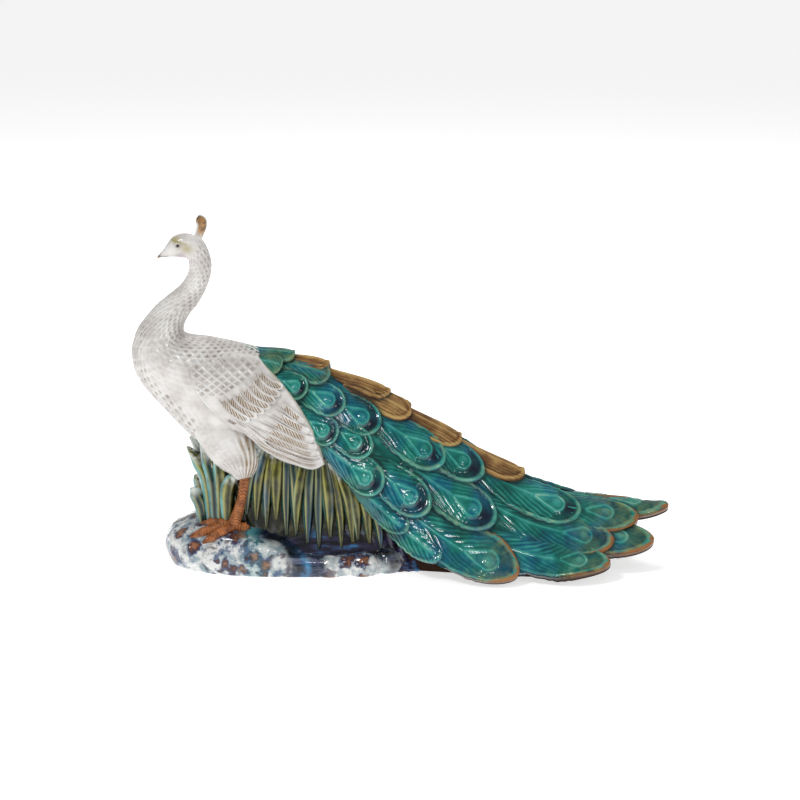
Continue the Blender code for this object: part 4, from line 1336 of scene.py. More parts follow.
@dataclass(frozen=True)
class BaseForm:
    """Rocks and pool that everything stands on."""

    length: float = BASE_LENGTH
    depth: float = BASE_DEPTH
    pool: float = POOL_HEIGHT
    mound: float = MOUND_HEIGHT
    centre_x: float = -0.298 * FIGURE_HEIGHT
    corner: float = 2 / 2.4

    def height(self, x: Array, y: Array) -> Array:
        """Model the rocks and the pool.

        Args:
            x: Places along the figure.
            y: Places across it.

        Returns:
            The height of the ground there.
        """
        middle = -0.467 * FIGURE_HEIGHT
        reach = ((x - middle) / (0.31 * self.length)) ** 2 + (y / (0.62 * self.depth)) ** 2
        mound = self.mound * np.sqrt(np.clip(1 - reach, 0, 1))
        return np.sqrt(mound ** 2 + self.pool ** 2 * smooth(0.3, 1.0, reach))

    def rim(self, turn: Array) -> tuple[Array, Array]:
        """Draw the outline of the base.

        Args:
            turn: Turn around its middle.

        Returns:
            The x and y of the outline from the middle.
        """
        c, s = np.cos(turn), np.sin(turn)
        return (self.length / 2 * np.sign(c) * np.abs(c) ** self.corner,
                self.depth / 2 * np.sign(s) * np.abs(s) ** self.corner)


class Rocks:
    """The foamy rock base with its boulders and the dark pool in the gully."""

    MASKS = ("pool", "stream", "lagoon")
    BOULDERS = 22
    BOULDER_SIZE = 0.0115
    GULLY = -0.265
    SIDE = ((0.955, 0.0), (0.985, 0.25), (1.0, 0.5), (0.985, 0.78), (0.955, 0.93))
    SHOULDER = 0.93

    def __init__(self) -> None:
        """Set up the form."""
        self.form = BaseForm()

    def tints(self, point: Array) -> Masks:
        """Find where the dark pool, the blue stream and the lagoon lie.

        Args:
            point: Points of the base.

        Returns:
            The masks.
        """
        x, y, z = (point[..., k] / FIGURE_HEIGHT for k in range(3))
        wander = 0.020 * waver(2.0, x * 20, y * 25, z * 45)
        gully = (1 - smooth(0.040, 0.066, np.abs(x - self.GULLY + wander))) * smooth(0.05, 0.12, np.abs(y))
        basin = smooth(-0.425, -0.375, x + wander) * (1 - smooth(0.150, 0.172, np.abs(y) + wander))
        basin = basin * (1 - smooth(0.06, 0.12, x + wander))
        basin = basin * (1 - smooth(-0.04, 0.02, x + wander) * smooth(0.06, 0.10, np.abs(y)))
        stream = bell(x + 0.275 + 1.2 * wander, 0.011) * smooth(0.12, 0.17, np.abs(y))
        lagoon = bell(np.hypot((x + 0.408) * 1.3, (np.abs(y) - 0.135) * 1.1) + wander, 0.044)
        return {"pool": np.clip(gully + basin, 0, 1), "stream": stream, "lagoon": lagoon}

    @staticmethod
    def froth(point: Array) -> Array:
        """Model the bumps of the foamy glaze.

        Args:
            point: Points of the base.

        Returns:
            The height of the bumps.
        """
        x, y, z = (point[..., k] for k in range(3))
        fine = waver(1.0, x * 520, y * 480, z * 560)
        broad = waver(2.0, x * 210, y * 230, z * 190)
        return 0.00080 * broad + 0.00038 * fine

    def build(self, shift: Vector, glaze: Material) -> list[Piece]:
        """Cast the base.

        Args:
            shift: Where the drawing's zero lies in the row frame.
            glaze: The glaze of the rocks.

        Returns:
            The base, one piece.
        """
        casting = Casting("rock_base", self.MASKS)
        turn = full_turn(300)
        ox, oy = self.form.rim(turn)
        cx = self.form.centre_x
        rings = []
        edge = self.form.height(cx + ox * self.SHOULDER, oy * self.SHOULDER)
        for share, up in curve(self.SIDE, np.linspace(0, 1, 22)):
            rings.append(np.stack([cx + ox * share, oy * share, up * edge], -1))
        for share in np.linspace(0.945, 0.012, 62):
            x, y = cx + ox * share, oy * share
            rings.append(np.stack([x, y, self.form.height(x, y)], -1))
        ring = np.array(rings)
        out = np.stack([np.cos(turn), np.sin(turn), 0.8 + 0 * turn], -1)[None] * np.ones(ring.shape)
        pool = self.tints(ring)["pool"]
        calm = 1 - 0.8 * pool
        wave = waver(7.0, ring[..., 0] * 150, ring[..., 1] * 420)
        ring[..., 2] += 0.0007 * pool * wave * smooth(0.006, 0.012, ring[..., 2])
        ring = ring + unit(out) * (self.froth(ring) * calm * smooth(0.0, 0.002, ring[..., 2]))[..., None]
        ring[..., 2] = np.maximum(ring[..., 2], 0.0)
        casting.add_loft(ring, self.tints(ring))
        self.boulders(casting)
        return [casting.build(shift, glaze)]

    def boulders(self, casting: Casting) -> None:
        """Add the boulders round the rim, flattened on the ground."""
        stone = ball(24, 40)
        for n in range(self.BOULDERS):
            turn = math.tau * (n + 0.35) / self.BOULDERS
            rim_x, rim_y = self.form.rim(np.float64(turn))
            x, y = self.form.centre_x + 0.90 * rim_x, 0.88 * rim_y
            if abs(x - self.GULLY * FIGURE_HEIGHT) < 0.055 * FIGURE_HEIGHT or x > 0.08 * FIGURE_HEIGHT:
                continue
            size = self.BOULDER_SIZE + 0.0020 * math.sin(5.0 * n)
            z = 0.42 * float(self.form.height(x, y))
            point = stone * np.array([1.2, 0.9, 1.0]) * size + np.array([x, y, z])
            bumps = self.froth(point) + 0.0008 * waver(n, stone[..., 0] * 3, stone[..., 2] * 3)
            point = point + stone * bumps[..., None]
            point[..., 2] = np.maximum(point[..., 2], 0.0)
            casting.add_loft(point, self.tints(point))


@dataclass(frozen=True)
class ReedTuft:
    """A tuft of blades on each side that arch out from the belly and hang to the ground.

    crown and foot hold the x of the first and last blade's top and lower end, and rise the height
    of their tops; all in shares of the figure's height.
    """

    crown: tuple[float, float]
    foot: tuple[float, float]
    rise: tuple[float, float]
    count: int


@dataclass(frozen=True)
class ReedLeaf:
    """A broad leaf that stands up from the rocks.

    places holds its x and z from root to tip in shares of the height, proud how far it stands off
    the mass behind as a share of its half width.
    """

    places: tuple
    proud: float
    half_width: float
    blunt: float


@dataclass(frozen=True)
class ReedMass:
    """The mass behind the reeds, a rounded box in plan that narrows upwards."""

    height: float = 0.40 * FIGURE_HEIGHT
    left: float = -0.550
    right: float = 0.150
    depth: float = 0.124
    power: float = 4.0

    def plan(self, z: float) -> tuple[float, float, float]:
        """Cut the mass at a height.

        Args:
            z: The height.

        Returns:
            The middle, half length and half depth there.
        """
        share = z / self.height
        right = self.right - 0.25 * share
        deep = self.depth - 0.030 * share
        h = FIGURE_HEIGHT
        return (self.left + right) / 2 * h, (right - self.left) / 2 * h, deep * h

    def face(self, x: float, z: float) -> float:
        """Find how far out the mass reaches.

        Args:
            x: Place along the figure.
            z: The height.

        Returns:
            Its half depth there.
        """
        middle, reach, deep = self.plan(z)
        off = min(abs(x - middle) / reach, 0.985)
        return deep * (1 - off ** self.power) ** (1 / self.power)


class Reeds:
    """The reeds that carry the belly and the train, and the mass behind them."""

    MASKS = ("groove_shade", "edge", "drip", "blue", "root", "teal", "crown", "bank")
    TUFTS = (ReedTuft((-0.392, -0.300), (-0.432, -0.292), (0.365, 0.360), 6),
             ReedTuft((-0.262, -0.180), (-0.292, -0.132), (0.350, 0.305), 6),
             ReedTuft((-0.150, -0.030), (-0.118, 0.045), (0.290, 0.140), 6))
    LEAVES = (
        ReedLeaf(((-0.556, 0.100), (-0.563, 0.173), (-0.576, 0.205), (-0.583, 0.228)), 0.55, 0.0185, 0.5),
        ReedLeaf(((-0.530, 0.100), (-0.543, 0.246), (-0.567, 0.300), (-0.600, 0.344)), 0.10, 0.0205, 0.15),
        ReedLeaf(((-0.518, 0.100), (-0.525, 0.246), (-0.540, 0.305), (-0.556, 0.355)), 0.25, 0.0190, 0.4),
        ReedLeaf(((-0.504, 0.100), (-0.504, 0.240), (-0.506, 0.292), (-0.514, 0.340)), 0.15, 0.0190, 0.4),
        ReedLeaf(((-0.484, 0.100), (-0.486, 0.209), (-0.478, 0.250), (-0.462, 0.276)), 0.30, 0.0210, 0.5))
    WIDTH = 0.0105
    STRIPE = 0.0075

    def __init__(self) -> None:
        """Set up the ground that the reeds rise from and the mass behind them."""
        self.ground = BaseForm()
        self.mass = ReedMass()

    def build(self, shift: Vector, glaze: Material) -> list[Piece]:
        """Cast the reeds.

        Args:
            shift: Where the drawing's zero lies in the row frame.
            glaze: The green glaze of the reeds.

        Returns:
            The reeds, one piece.
        """
        casting = Casting("reeds", self.MASKS)
        self.filler(casting)
        for side in (-1, 1):
            for tuft in self.TUFTS:
                for n in range(tuft.count):
                    self.blade(casting, tuft, side, n)
            for n, leaf in enumerate(self.LEAVES):
                self.standing_leaf(casting, leaf, side, n)
        return [casting.build(shift, glaze)]

    def filler(self, casting: Casting) -> None:
        """Add the mass behind the blades, painted dark as the shade between them."""
        turn = full_turn(220)
        power = 2 / self.mass.power
        c = np.sign(np.cos(turn)) * np.abs(np.cos(turn)) ** power
        s = np.sign(np.sin(turn)) * np.abs(np.sin(turn)) ** power
        rings, stripes = [], []
        for z in np.linspace(0, self.mass.height, 60):
            middle, reach, deep = self.mass.plan(z)
            x = middle + reach * c
            bend = 1.5 * waver(5.0, x * 40, z * 30)
            stripe = np.cos((x + 0.30 * z) * 2 * math.pi / self.STRIPE + bend)
            bank = 0.0055 * np.clip(1 - z / 0.042, 0, 1) ** 1.5
            swell = 0.0011 * stripe * smooth(0.25, 0.7, np.abs(s)) + bank
            rings.append(np.stack([x, (deep + swell) * s, np.full(len(turn), z)], -1))
            stripes.append(stripe)
        stripe, ring = np.array(stripes), np.array(rings)
        bank = 1 - smooth(0.030, 0.044, ring[..., 2] + 0.004 * stripe)
        high = smooth(0.05, 0.09, ring[..., 2])
        low = 1 - smooth(0.006, 0.022, ring[..., 2] - self.ground.height(ring[..., 0], ring[..., 1]))
        # Painted shade: the mass is dark between the blades and darkest near the ground.
        groove_shade = np.maximum(0.82 - 0.32 * stripe, low) * (1 - bank)
        edge = 0.4 * smooth(0.8, 1.0, stripe) * high
        casting.add_loft(ring, {"groove_shade": groove_shade, "bank": bank, "edge": edge})

    def blade(self, casting: Casting, tuft: ReedTuft, side: int, n: int) -> None:
        """Add one hanging blade of a tuft.

        Args:
            casting: Casting that takes the blade.
            tuft: The tuft.
            side: -1 or 1, the side of the figure.
            n: Which blade of the tuft.
        """
        h, w = FIGURE_HEIGHT, self.WIDTH
        share = n / (tuft.count - 1)
        ends = (tuft.crown, tuft.foot, tuft.rise)
        top_x, low_x, rise = ((low + (high - low) * share) * h for low, high in ends)
        wave = math.sin(2.4 * n + 0.7)
        ground = float(self.ground.height(low_x, side * self.mass.face(low_x, 0.0)))
        end = ground + 0.004 * h + 0.020 * h * (1 + wave)
        middle_x = low_x + 0.22 * (top_x - low_x)
        middle_z = 0.52 * rise + 0.48 * end
        places = ((top_x, rise, 0.10), (middle_x, middle_z, 0.22 + 0.12 * wave),
                  (low_x, end, 0.14 + 0.06 * wave))
        path = tuple((x, side * (self.mass.face(x, z) + proud * w), z) for x, z, proud in places)
        widths = (0.40 * w, (0.53 + 0.07 * wave) * w, 0.15 * w)
        spindle = Spindle(path, widths, (0.36 * w, 0.50 * w, 0.18 * w))
        seed = 1.9 * n + 5.0 * side + 37 * tuft.crown[0]
        self.leaf(casting, spindle, seed, False, 1.0 if n == 0 else 0.3)

    def standing_leaf(self, casting: Casting, leaf: ReedLeaf, side: int, n: int) -> None:
        """Add one leaf that stands at the front of the reeds.

        Args:
            casting: Casting that takes the leaf.
            leaf: The leaf.
            side: -1 or 1, the side of the figure.
            n: Which leaf.
        """
        w = leaf.half_width * FIGURE_HEIGHT
        places = [(x * FIGURE_HEIGHT, z * FIGURE_HEIGHT) for x, z in leaf.places]
        path = tuple((x, side * (self.mass.face(x, z) + leaf.proud * w), z) for x, z in places)
        spindle = Spindle(path, (0.60 * w, w, w, leaf.blunt * w), (0.6 * w, 0.8 * w, 0.7 * w, 0.3 * w))
        self.leaf(casting, spindle, 3.0 + 2.2 * n + side, True, 0.8)

    def leaf(self, casting: Casting, spindle: Spindle, seed: float, upright: bool, run: float) -> None:
        """Add a blade with its ribs, fine grooves, runs of glaze, painted shade and a painted highlight.

        Args:
            casting: Casting that takes the blade.
            spindle: Form of the blade.
            seed: Start of the chance in its relief and colours.
            upright: Whether the blade's tip points up.
            run: Strength of the light line that runs down its front edge.
        """
        ring, out, t, turn = spindle.rings(48, 22)
        high = t if upright else 1 - t
        ribs = np.cos(turn * 6 + 0.6 * waver(seed, t * 4))
        ring = ring + out * (0.00035 * ribs * smooth(0.05, 0.2, high))[..., None]
        # Painted shade: one side of each blade, its lee side and its grooves are darkened.
        side_shade = smooth(0.25, 0.75, np.cos(turn))
        lee_shade = (1 - run) * smooth(0.55, 0.85, -np.cos(turn))
        groove_shade = np.clip(smooth(0.2, 0.8, -ribs) * 0.75 + 0.6 * side_shade + 0.6 * lee_shade, 0, 1)
        edge = run * smooth(0.80 - 0.45 * run, 0.96 - 0.25 * run, -np.cos(turn))
        edge = edge * (0.8 + 0.2 * waver(seed + 2, t * 5))
        strength, start = (1.0, 0.58) if upright else (0.6, 0.82)
        drip = strength * smooth(start, 0.94, high + 0.12 * waver(seed + 4, turn * 2, t * 3))
        blue = smooth(0.45, 0.85, waver(seed + 9, t * 4.0, turn * 1.0)) * 0.8
        teal = smooth(-0.1, 0.5, math.sin(7.3 * seed) + 0.4 * waver(seed + 6, t * 3))
        # Painted highlight: a straw line on the crests of the ribs, on the side away from the painted shade.
        crown = smooth(0.45, 0.95, ribs) * smooth(0.2, 0.7, np.abs(np.sin(turn))) * (1 - side_shade)
        casting.add_loft(ring, {"groove_shade": groove_shade, "edge": edge, "drip": drip, "blue": blue, "teal": teal,
                                "crown": crown, "root": 1 - smooth(0.0, 0.22, high)})


class Legs:
    """Thighs, shanks and toes of both sides."""

    MASKS = ("scute", "claw", "recess_stain_and_shade", "thigh")
    LEG_WIDTH = 0.0092
    TOE_WIDTH = 0.0085
    WEB_INSET = 0.75
    STANCE = 0.130
    THIGH_ROWS = 13
    SCUTES = 19
    TOES = ((-0.124, 0.004), (-0.085, 0.044), (-0.095, -0.046), (0.045, -0.006))
    TOE_SCUTE = 0.0024

    def __init__(self) -> None:
        """Set up the ground that the toes rest on."""
        self.ground = BaseForm()

    def build(self, shift: Vector, skin: Material, glaze: Material,
              green: Material) -> list[Piece]:
        """Cast the legs.

        Args:
            shift: Where the drawing's zero lies in the row frame.
            skin: The brown glaze of the shanks and toes.
            glaze: The white glaze of the thighs.
            green: The green glaze of the webs behind the shanks.

        Returns:
            The pieces.
        """
        feet = Casting("legs_and_toes", self.MASKS)
        webs = Casting("leg_webs", Reeds.MASKS)
        thighs = Casting("thighs", Bird.MASKS)
        h = FIGURE_HEIGHT
        for side, lag in ((-1, 0.0), (1, 0.03)):
            y = side * self.STANCE * h
            ankle = np.array([(-0.467 + lag) * h, y, 0.0])
            ankle[2] = float(self.ground.height(ankle[0], y)) + 0.55 * self.LEG_WIDTH
            knee = np.array([(-0.430 + lag) * h, 0.95 * y, 0.285 * h])
            self.thigh(thighs, knee, ankle, lag)
            self.shank(feet, knee, ankle)
            self.web(webs, knee, ankle)
            self.toes(feet, ankle, side)
        return [feet.build(shift, skin), thighs.build(shift, glaze), webs.build(shift, green)]

    def web(self, casting: Casting, knee: Array, ankle: Array) -> None:
        """Add the web that joins a leg to the reeds behind it.

        Args:
            casting: Casting that takes the web.
            knee: Where the shank starts.
            ankle: Where the shank ends.
        """
        w = self.LEG_WIDTH
        inner = np.array([1.0, self.WEB_INSET, 1.0])
        middle = (knee + ankle) / 2 + np.array([0.16 * w, 0, 0])
        places = (knee + np.array([0, 0, 0.65 * w]), middle, ankle - np.array([0, 0, w]))
        path = tuple(place * inner for place in places)
        spindle = Spindle(path, (0.32 * w,) * 3, (0.30 * abs(ankle[1]),) * 3)
        ring, _, t, turn = spindle.rings(40, 24)
        teal = smooth(0.2, 0.8, np.cos(turn * 3 + t * 4))
        # Painted shade: the web behind the shank is darkened.
        casting.add_loft(ring, {"groove_shade": 0.75 + 0.0 * t, "teal": teal})

    def thigh(self, casting: Casting, knee: Array, ankle: Array, lag: float) -> None:
        """Add a feathered thigh that narrows from the belly to the knee.

        Args:
            casting: Casting that takes the thigh.
            knee: Where the shank starts.
            ankle: Where the shank ends.
            lag: How far the leg stands behind the other one, in shares of the height.
        """
        h, y = FIGURE_HEIGHT, knee[1]
        low = knee + (ankle - knee) * 0.10
        path = (((-0.495 + lag) * h, 0.25 * y, 0.430 * h), ((-0.470 + lag) * h, 0.58 * y, 0.365 * h),
                ((-0.442 + lag) * h, 0.88 * y, 0.308 * h), tuple(low))
        spindle = Spindle(path, tuple(share * h for share in (0.100, 0.084, 0.054, 0.020)),
                          tuple(share * h for share in (0.064, 0.052, 0.037, 0.019)))
        ring, out, t, turn = spindle.rings(90, 104)
        row = t * self.THIGH_ROWS
        lobes = np.cos(turn * 11 + math.pi * np.floor(row))
        fringe = (row - np.floor(row)) - 0.25 * lobes
        line = bell(fringe - 0.75, 0.16)
        strands = np.cos(turn * 26 + 1.2 * waver(8.0, t * 6, turn * 2))
        ring = ring + out * (0.0005 * line + 0.00018 * strands * smooth(0.15, 0.4, t))[..., None]
        tuft = smooth(-0.10, 0.35, np.cos(turn)) * smooth(0.26, 0.46, t)
        strokes = smooth(-0.3, 0.5, -strands)
        casting.add_loft(ring, {"recess_stain_and_shade": 0.45 * strokes * smooth(0.45, 0.75, t), "tan": strokes * tuft})

    def shank(self, casting: Casting, knee: Array, ankle: Array) -> None:
        """Add a leg with its rings of scutes.

        Args:
            casting: Casting that takes the shank.
            knee: Where the shank starts.
            ankle: Where the shank ends.
        """
        w = self.LEG_WIDTH
        middle = (knee + ankle) / 2 + np.array([0.0015, 0, 0])
        widths = (0.5 * w, 0.47 * w, 0.62 * w)
        spindle = Spindle((knee + np.array([0, 0, 0.006]), middle, ankle), widths, widths)
        ring, out, t, turn = spindle.rings(130, 32)
        phase = t * self.SCUTES + 0.22 * np.cos(turn * 5) + 0.2 * waver(3.0, t * 9, turn)
        crease = bell(np.mod(phase, 1.0) - 0.5, 0.15)
        ring = ring - out * (0.0005 * crease)[..., None]
        casting.add_loft(ring, {"scute": crease * (0.8 + 0.2 * waver(4.0, t * 14, turn * 2))})

    def toes(self, casting: Casting, ankle: Array, side: int) -> None:
        """Add the toes of one foot, laid on the rocks, each ending in a claw.

        Args:
            casting: Casting that takes the toes.
            ankle: Where the toes meet.
            side: -1 or 1, the side of the figure.
        """
        h, w = FIGURE_HEIGHT, self.TOE_WIDTH
        for dx, dy in self.TOES:
            tip = np.array([ankle[0] + dx * h, ankle[1] + side * dy * h, 0.0])
            path = []
            for share in (0.0, 0.35, 0.7, 1.0):
                spot = ankle + (tip - ankle) * share
                ground = float(self.ground.height(spot[0], spot[1]))
                path.append((spot[0], spot[1], ground + w * (0.44 - 0.28 * share)))
            spindle = Spindle(tuple(path), (0.5 * w, 0.5 * w, 0.48 * w, 0.14 * w),
                              (0.5 * w, 0.48 * w, 0.42 * w, 0.14 * w), (0.0, 0.0, 1.0))
            ring, out, t, turn = spindle.rings(84, 26)
            length = np.linalg.norm(np.array(path[-1]) - np.array(path[0]))
            phase = t * length / self.TOE_SCUTE
            crease = bell(np.mod(phase, 1.0) - 0.5, 0.17) * (1 - smooth(0.78, 0.84, t))
            joint = 0.05 * w * np.cos(t * math.tau * 3) * (1 - smooth(0.7, 0.9, t))
            ring = ring + out * (joint - 0.0004 * crease)[..., None]
            casting.add_loft(ring, {"scute": 0.40 * crease, "claw": 0.5 * smooth(0.84, 0.92, t)})


def tint(red: int, green: int, blue: int) -> Colour:
    """Turn a screen colour into a colour for a shader.

    Args:
        red: Red, 0 to 255.
        green: Green, 0 to 255.
        blue: Blue, 0 to 255.

    Returns:
        The colour, with full opacity.
    """
    def linear(value: int) -> float:
        """Return one channel as light."""
        share = value / 255
        return share / 12.92 if share <= 0.04045 else ((share + 0.055) / 1.055) ** 2.4

    return linear(red), linear(green), linear(blue), 1.0


class Painter:
    """Nodes of one glaze, laid on layer by layer."""

    def __init__(self, name: str) -> None:
        """Start a material with its shader."""
        self.material = bpy.data.materials.new(name)
        self.material.use_nodes = True
        self.tree = self.material.node_tree
        self.shader = self.tree.nodes["Principled BSDF"]
        self.place = self.tree.nodes.new("ShaderNodeTexCoord").outputs["Object"]

    def mask(self, name: str) -> Socket:
        """Return a mask that the mesh carries."""
        node = self.tree.nodes.new("ShaderNodeAttribute")
        node.attribute_name = name
        return node.outputs["Fac"]

    def noise(self, scale: float, detail: float = 3.0, rough: float = 0.55) -> Socket:
        """Add a cloudy noise.

        Args:
            scale: Cycles to the metre.
            detail: How many finer layers it has.
            rough: Strength of the finer layers.

        Returns:
            The noise, 0 to 1.
        """
        node = self.tree.nodes.new("ShaderNodeTexNoise")
        self.tree.links.new(self.place, node.inputs["Vector"])
        node.inputs["Scale"].default_value = scale
        node.inputs["Detail"].default_value = detail
        node.inputs["Roughness"].default_value = rough
        return node.outputs["Fac"]

    def strands(self, scale: float, stretch: tuple[float, float, float]) -> Socket:
        """Add a noise that is drawn out into strands.

        Args:
            scale: Cycles to the metre.
            stretch: How much its places shrink along x, y and z.

        Returns:
            The noise, 0 to 1.
        """
        bent = self.tree.nodes.new("ShaderNodeVectorMath")
        bent.operation = "MULTIPLY"
        self.tree.links.new(self.place, bent.inputs[0])
        bent.inputs[1].default_value = stretch
        value = self.noise(scale, 4.0, 0.6)
        self.tree.links.new(bent.outputs["Vector"], value.node.inputs["Vector"])
        return value

    def speckle(self, scale: float, stray: float = 0.0) -> Socket:
        """Scatter points.

        Args:
            scale: Points to the metre.
            stray: How far the places wander, in metres, which makes the spots ragged.

        Returns:
            The distance to the nearest point.
        """
        node = self.tree.nodes.new("ShaderNodeTexVoronoi")
        self.tree.links.new(self.place, node.inputs["Vector"])
        if stray > 0:
            cloud = self.noise(150.0).node.outputs["Color"]
            moved = self.tree.nodes.new("ShaderNodeVectorMath")
            moved.operation = "MULTIPLY_ADD"
            self.tree.links.new(cloud, moved.inputs[0])
            moved.inputs[1].default_value = (stray, stray, stray)
            self.tree.links.new(self.place, moved.inputs[2])
            self.tree.links.new(moved.outputs["Vector"], node.inputs["Vector"])
        node.inputs["Scale"].default_value = scale
        return node.outputs["Distance"]

    def ramp(self, source: Socket,
             stops: tuple[tuple[float, Colour], ...]) -> Socket:
        """Colour a value along a ramp.

        Args:
            source: Value that runs 0 to 1.
            stops: Places and their colours, in order.

        Returns:
            The colours.
        """
        node = self.tree.nodes.new("ShaderNodeValToRGB")
        bar = node.color_ramp.elements
        while len(bar) < len(stops):
            bar.new(0.5)
        for element, (place, colour) in zip(bar, stops):
            element.position = place
            element.color = colour
        self.tree.links.new(source, node.inputs["Fac"])
        return node.outputs["Color"]

    def span(self, source: Socket, low: float, high: float, to_low: float = 0.0,
             to_high: float = 1.0) -> Socket:
        """Stretch a value to another range and hold it there.

        Args:
            source: The value.
            low: Where the range starts.
            high: Where it ends.
            to_low: What low becomes.
            to_high: What high becomes.

        Returns:
            The stretched value.
        """
        node = self.tree.nodes.new("ShaderNodeMapRange")
        self.tree.links.new(source, node.inputs["Value"])
        for name, value in (("From Min", low), ("From Max", high), ("To Min", to_low), ("To Max", to_high)):
            node.inputs[name].default_value = value
        return node.outputs["Result"]

    def sum(self, kind: str, one: Socket, two: object) -> Socket:
        """Put two values together.

        Args:
            kind: Name of the sum, such as MULTIPLY.
            one: The first value.
            two: The second, a number or a socket.

        Returns:
            The result.
        """
        node = self.tree.nodes.new("ShaderNodeMath")
        node.operation = kind
        self.tree.links.new(one, node.inputs[0])
        if isinstance(two, (int, float)):
            node.inputs[1].default_value = two
        else:
            self.tree.links.new(two, node.inputs[1])
        return node.outputs[0]

    def stain_and_shade(self, under: object, colour: object, mask: str, share: float = 1.0) -> Socket:
        """Return colour laid over under where the mesh carries the named mask, at most by share."""
        there = self.mask(mask)
        return self.over(under, colour, there if share == 1.0 else self.sum("MULTIPLY", there, share))

    def over(self, under: object, colour: object, share: Socket) -> Socket:
        """Lay one colour over another.

        Args:
            under: Colour or socket below.
            colour: Colour or socket on top.
            share: How much of the top shows.

        Returns:
            The mixed colour.
        """
        node = self.tree.nodes.new("ShaderNodeMix")
        node.data_type = "RGBA"
        self.tree.links.new(share, node.inputs["Factor"])
        for socket, value in ((node.inputs[6], under), (node.inputs[7], colour)):
            if isinstance(value, tuple):
                socket.default_value = value
            else:
                self.tree.links.new(value, socket)
        return node.outputs[2]

    def clear(self, weight: object, rough: float = 0.03) -> None:
        """Lay a clear gloss on top; it takes the place of the colour's own shine.

        Args:
            weight: Strength of the gloss, a number or a socket.
            rough: Roughness of the gloss.
        """
        if isinstance(weight, float):
            self.shader.inputs["Coat Weight"].default_value = weight
        else:
            self.tree.links.new(weight, self.shader.inputs["Coat Weight"])
        self.shader.inputs["Coat Roughness"].default_value = rough
        self.shader.inputs["Specular IOR Level"].default_value = 0.15

    def finish(self, colour: Socket, rough: Socket, bump: Socket,
               bump_depth: float) -> Material:
        """Join the layers to the shader.

        Args:
            colour: Base colour.
            rough: Roughness.
            bump: Height of the fine relief, 0 to 1.
            bump_depth: Depth of the fine relief in metres.

        Returns:
            The finished material.
        """
        links = self.tree.links
        links.new(colour, self.shader.inputs["Base Color"])
        links.new(rough, self.shader.inputs["Roughness"])
        node = self.tree.nodes.new("ShaderNodeBump")
        node.inputs["Distance"].default_value = bump_depth
        links.new(bump, node.inputs["Height"])
        links.new(node.outputs["Normal"], self.shader.inputs["Normal"])
        return self.material


@dataclass(frozen=True)
class TealGlaze:
    """Glossy teal glaze of the train, dark where it pools and yellow where it breaks over ribs."""

    deep: Colour = tint(2, 36, 46)
    body: Colour = tint(2, 114, 102)
    lagoon: Colour = tint(0, 102, 126)
    light: Colour = tint(62, 168, 156)
    crest: Colour = tint(176, 220, 186)
    navy: Colour = tint(4, 12, 40)
    straw: Colour = tint(146, 150, 82)
    # Bare clay, darkened to stand in for the shade under the train.
    orange: Colour = tint(164, 104, 56)
    clay_and_shade: Colour = tint(52, 30, 18)
    soil: Colour = tint(62, 42, 24)
    umber: Colour = tint(126, 84, 42)
    ochre: Colour = tint(204, 160, 96)

    def material(self) -> Material:
        """Return the material."""
        paint = Painter("teal_glaze")
        clouds = paint.noise(70.0)
        tone = paint.sum("ADD", paint.mask("tone"), paint.span(clouds, 0.3, 0.7, -0.15, 0.15))
        colour = paint.ramp(tone, ((0.0, self.deep), (0.36, self.body), (0.66, self.light),
                                   (0.95, self.crest)))
        sea = paint.ramp(tone, ((0.0, self.deep), (0.36, self.lagoon), (0.75, self.light),
                                (0.95, self.crest)))
        colour = paint.over(colour, sea, paint.span(paint.noise(26.0, 2.0), 0.46, 0.60))
        wash = paint.sum("MULTIPLY", paint.mask("yellow"), paint.span(paint.noise(140.0), 0.35, 0.65))
        colour = paint.over(colour, self.straw, paint.sum("MULTIPLY", wash, 0.7))
        gold = paint.ramp(tone, ((0.0, self.soil), (0.36, self.umber), (0.70, self.ochre),
                                 (0.95, self.straw)))
        colour = paint.stain_and_shade(colour, gold, "gold", 0.92)
        colour = paint.stain_and_shade(colour, self.navy, "pool", 0.94)
        # Painted shade: deep teal under feather edges, on the undersides and on the shell.
        colour = paint.stain_and_shade(colour, self.deep, "crevice_shade", 0.88)
        colour = paint.stain_and_shade(colour, self.orange, "rust")
        # Bare clay of the wall, shell underside and the last feathers' undersides, painted near black as
        # shade.
        colour = paint.stain_and_shade(colour, self.clay_and_shade, "bare_clay_and_shade")
        dull = paint.sum("MAXIMUM", paint.mask("bare_clay_and_shade"), paint.sum("MULTIPLY", paint.mask("gold"), 0.88))
        dull = paint.sum("MAXIMUM", dull, paint.sum("MULTIPLY", paint.mask("rust"), 0.85))
        rough = paint.sum("ADD", paint.span(clouds, 0.3, 0.7, 0.10, 0.18), paint.sum("MULTIPLY", dull, 0.5))
        paint.clear(paint.span(dull, 0.0, 1.0, 1.0, 0.0), 0.04)
        return paint.finish(colour, rough, paint.noise(420.0), 0.00010)


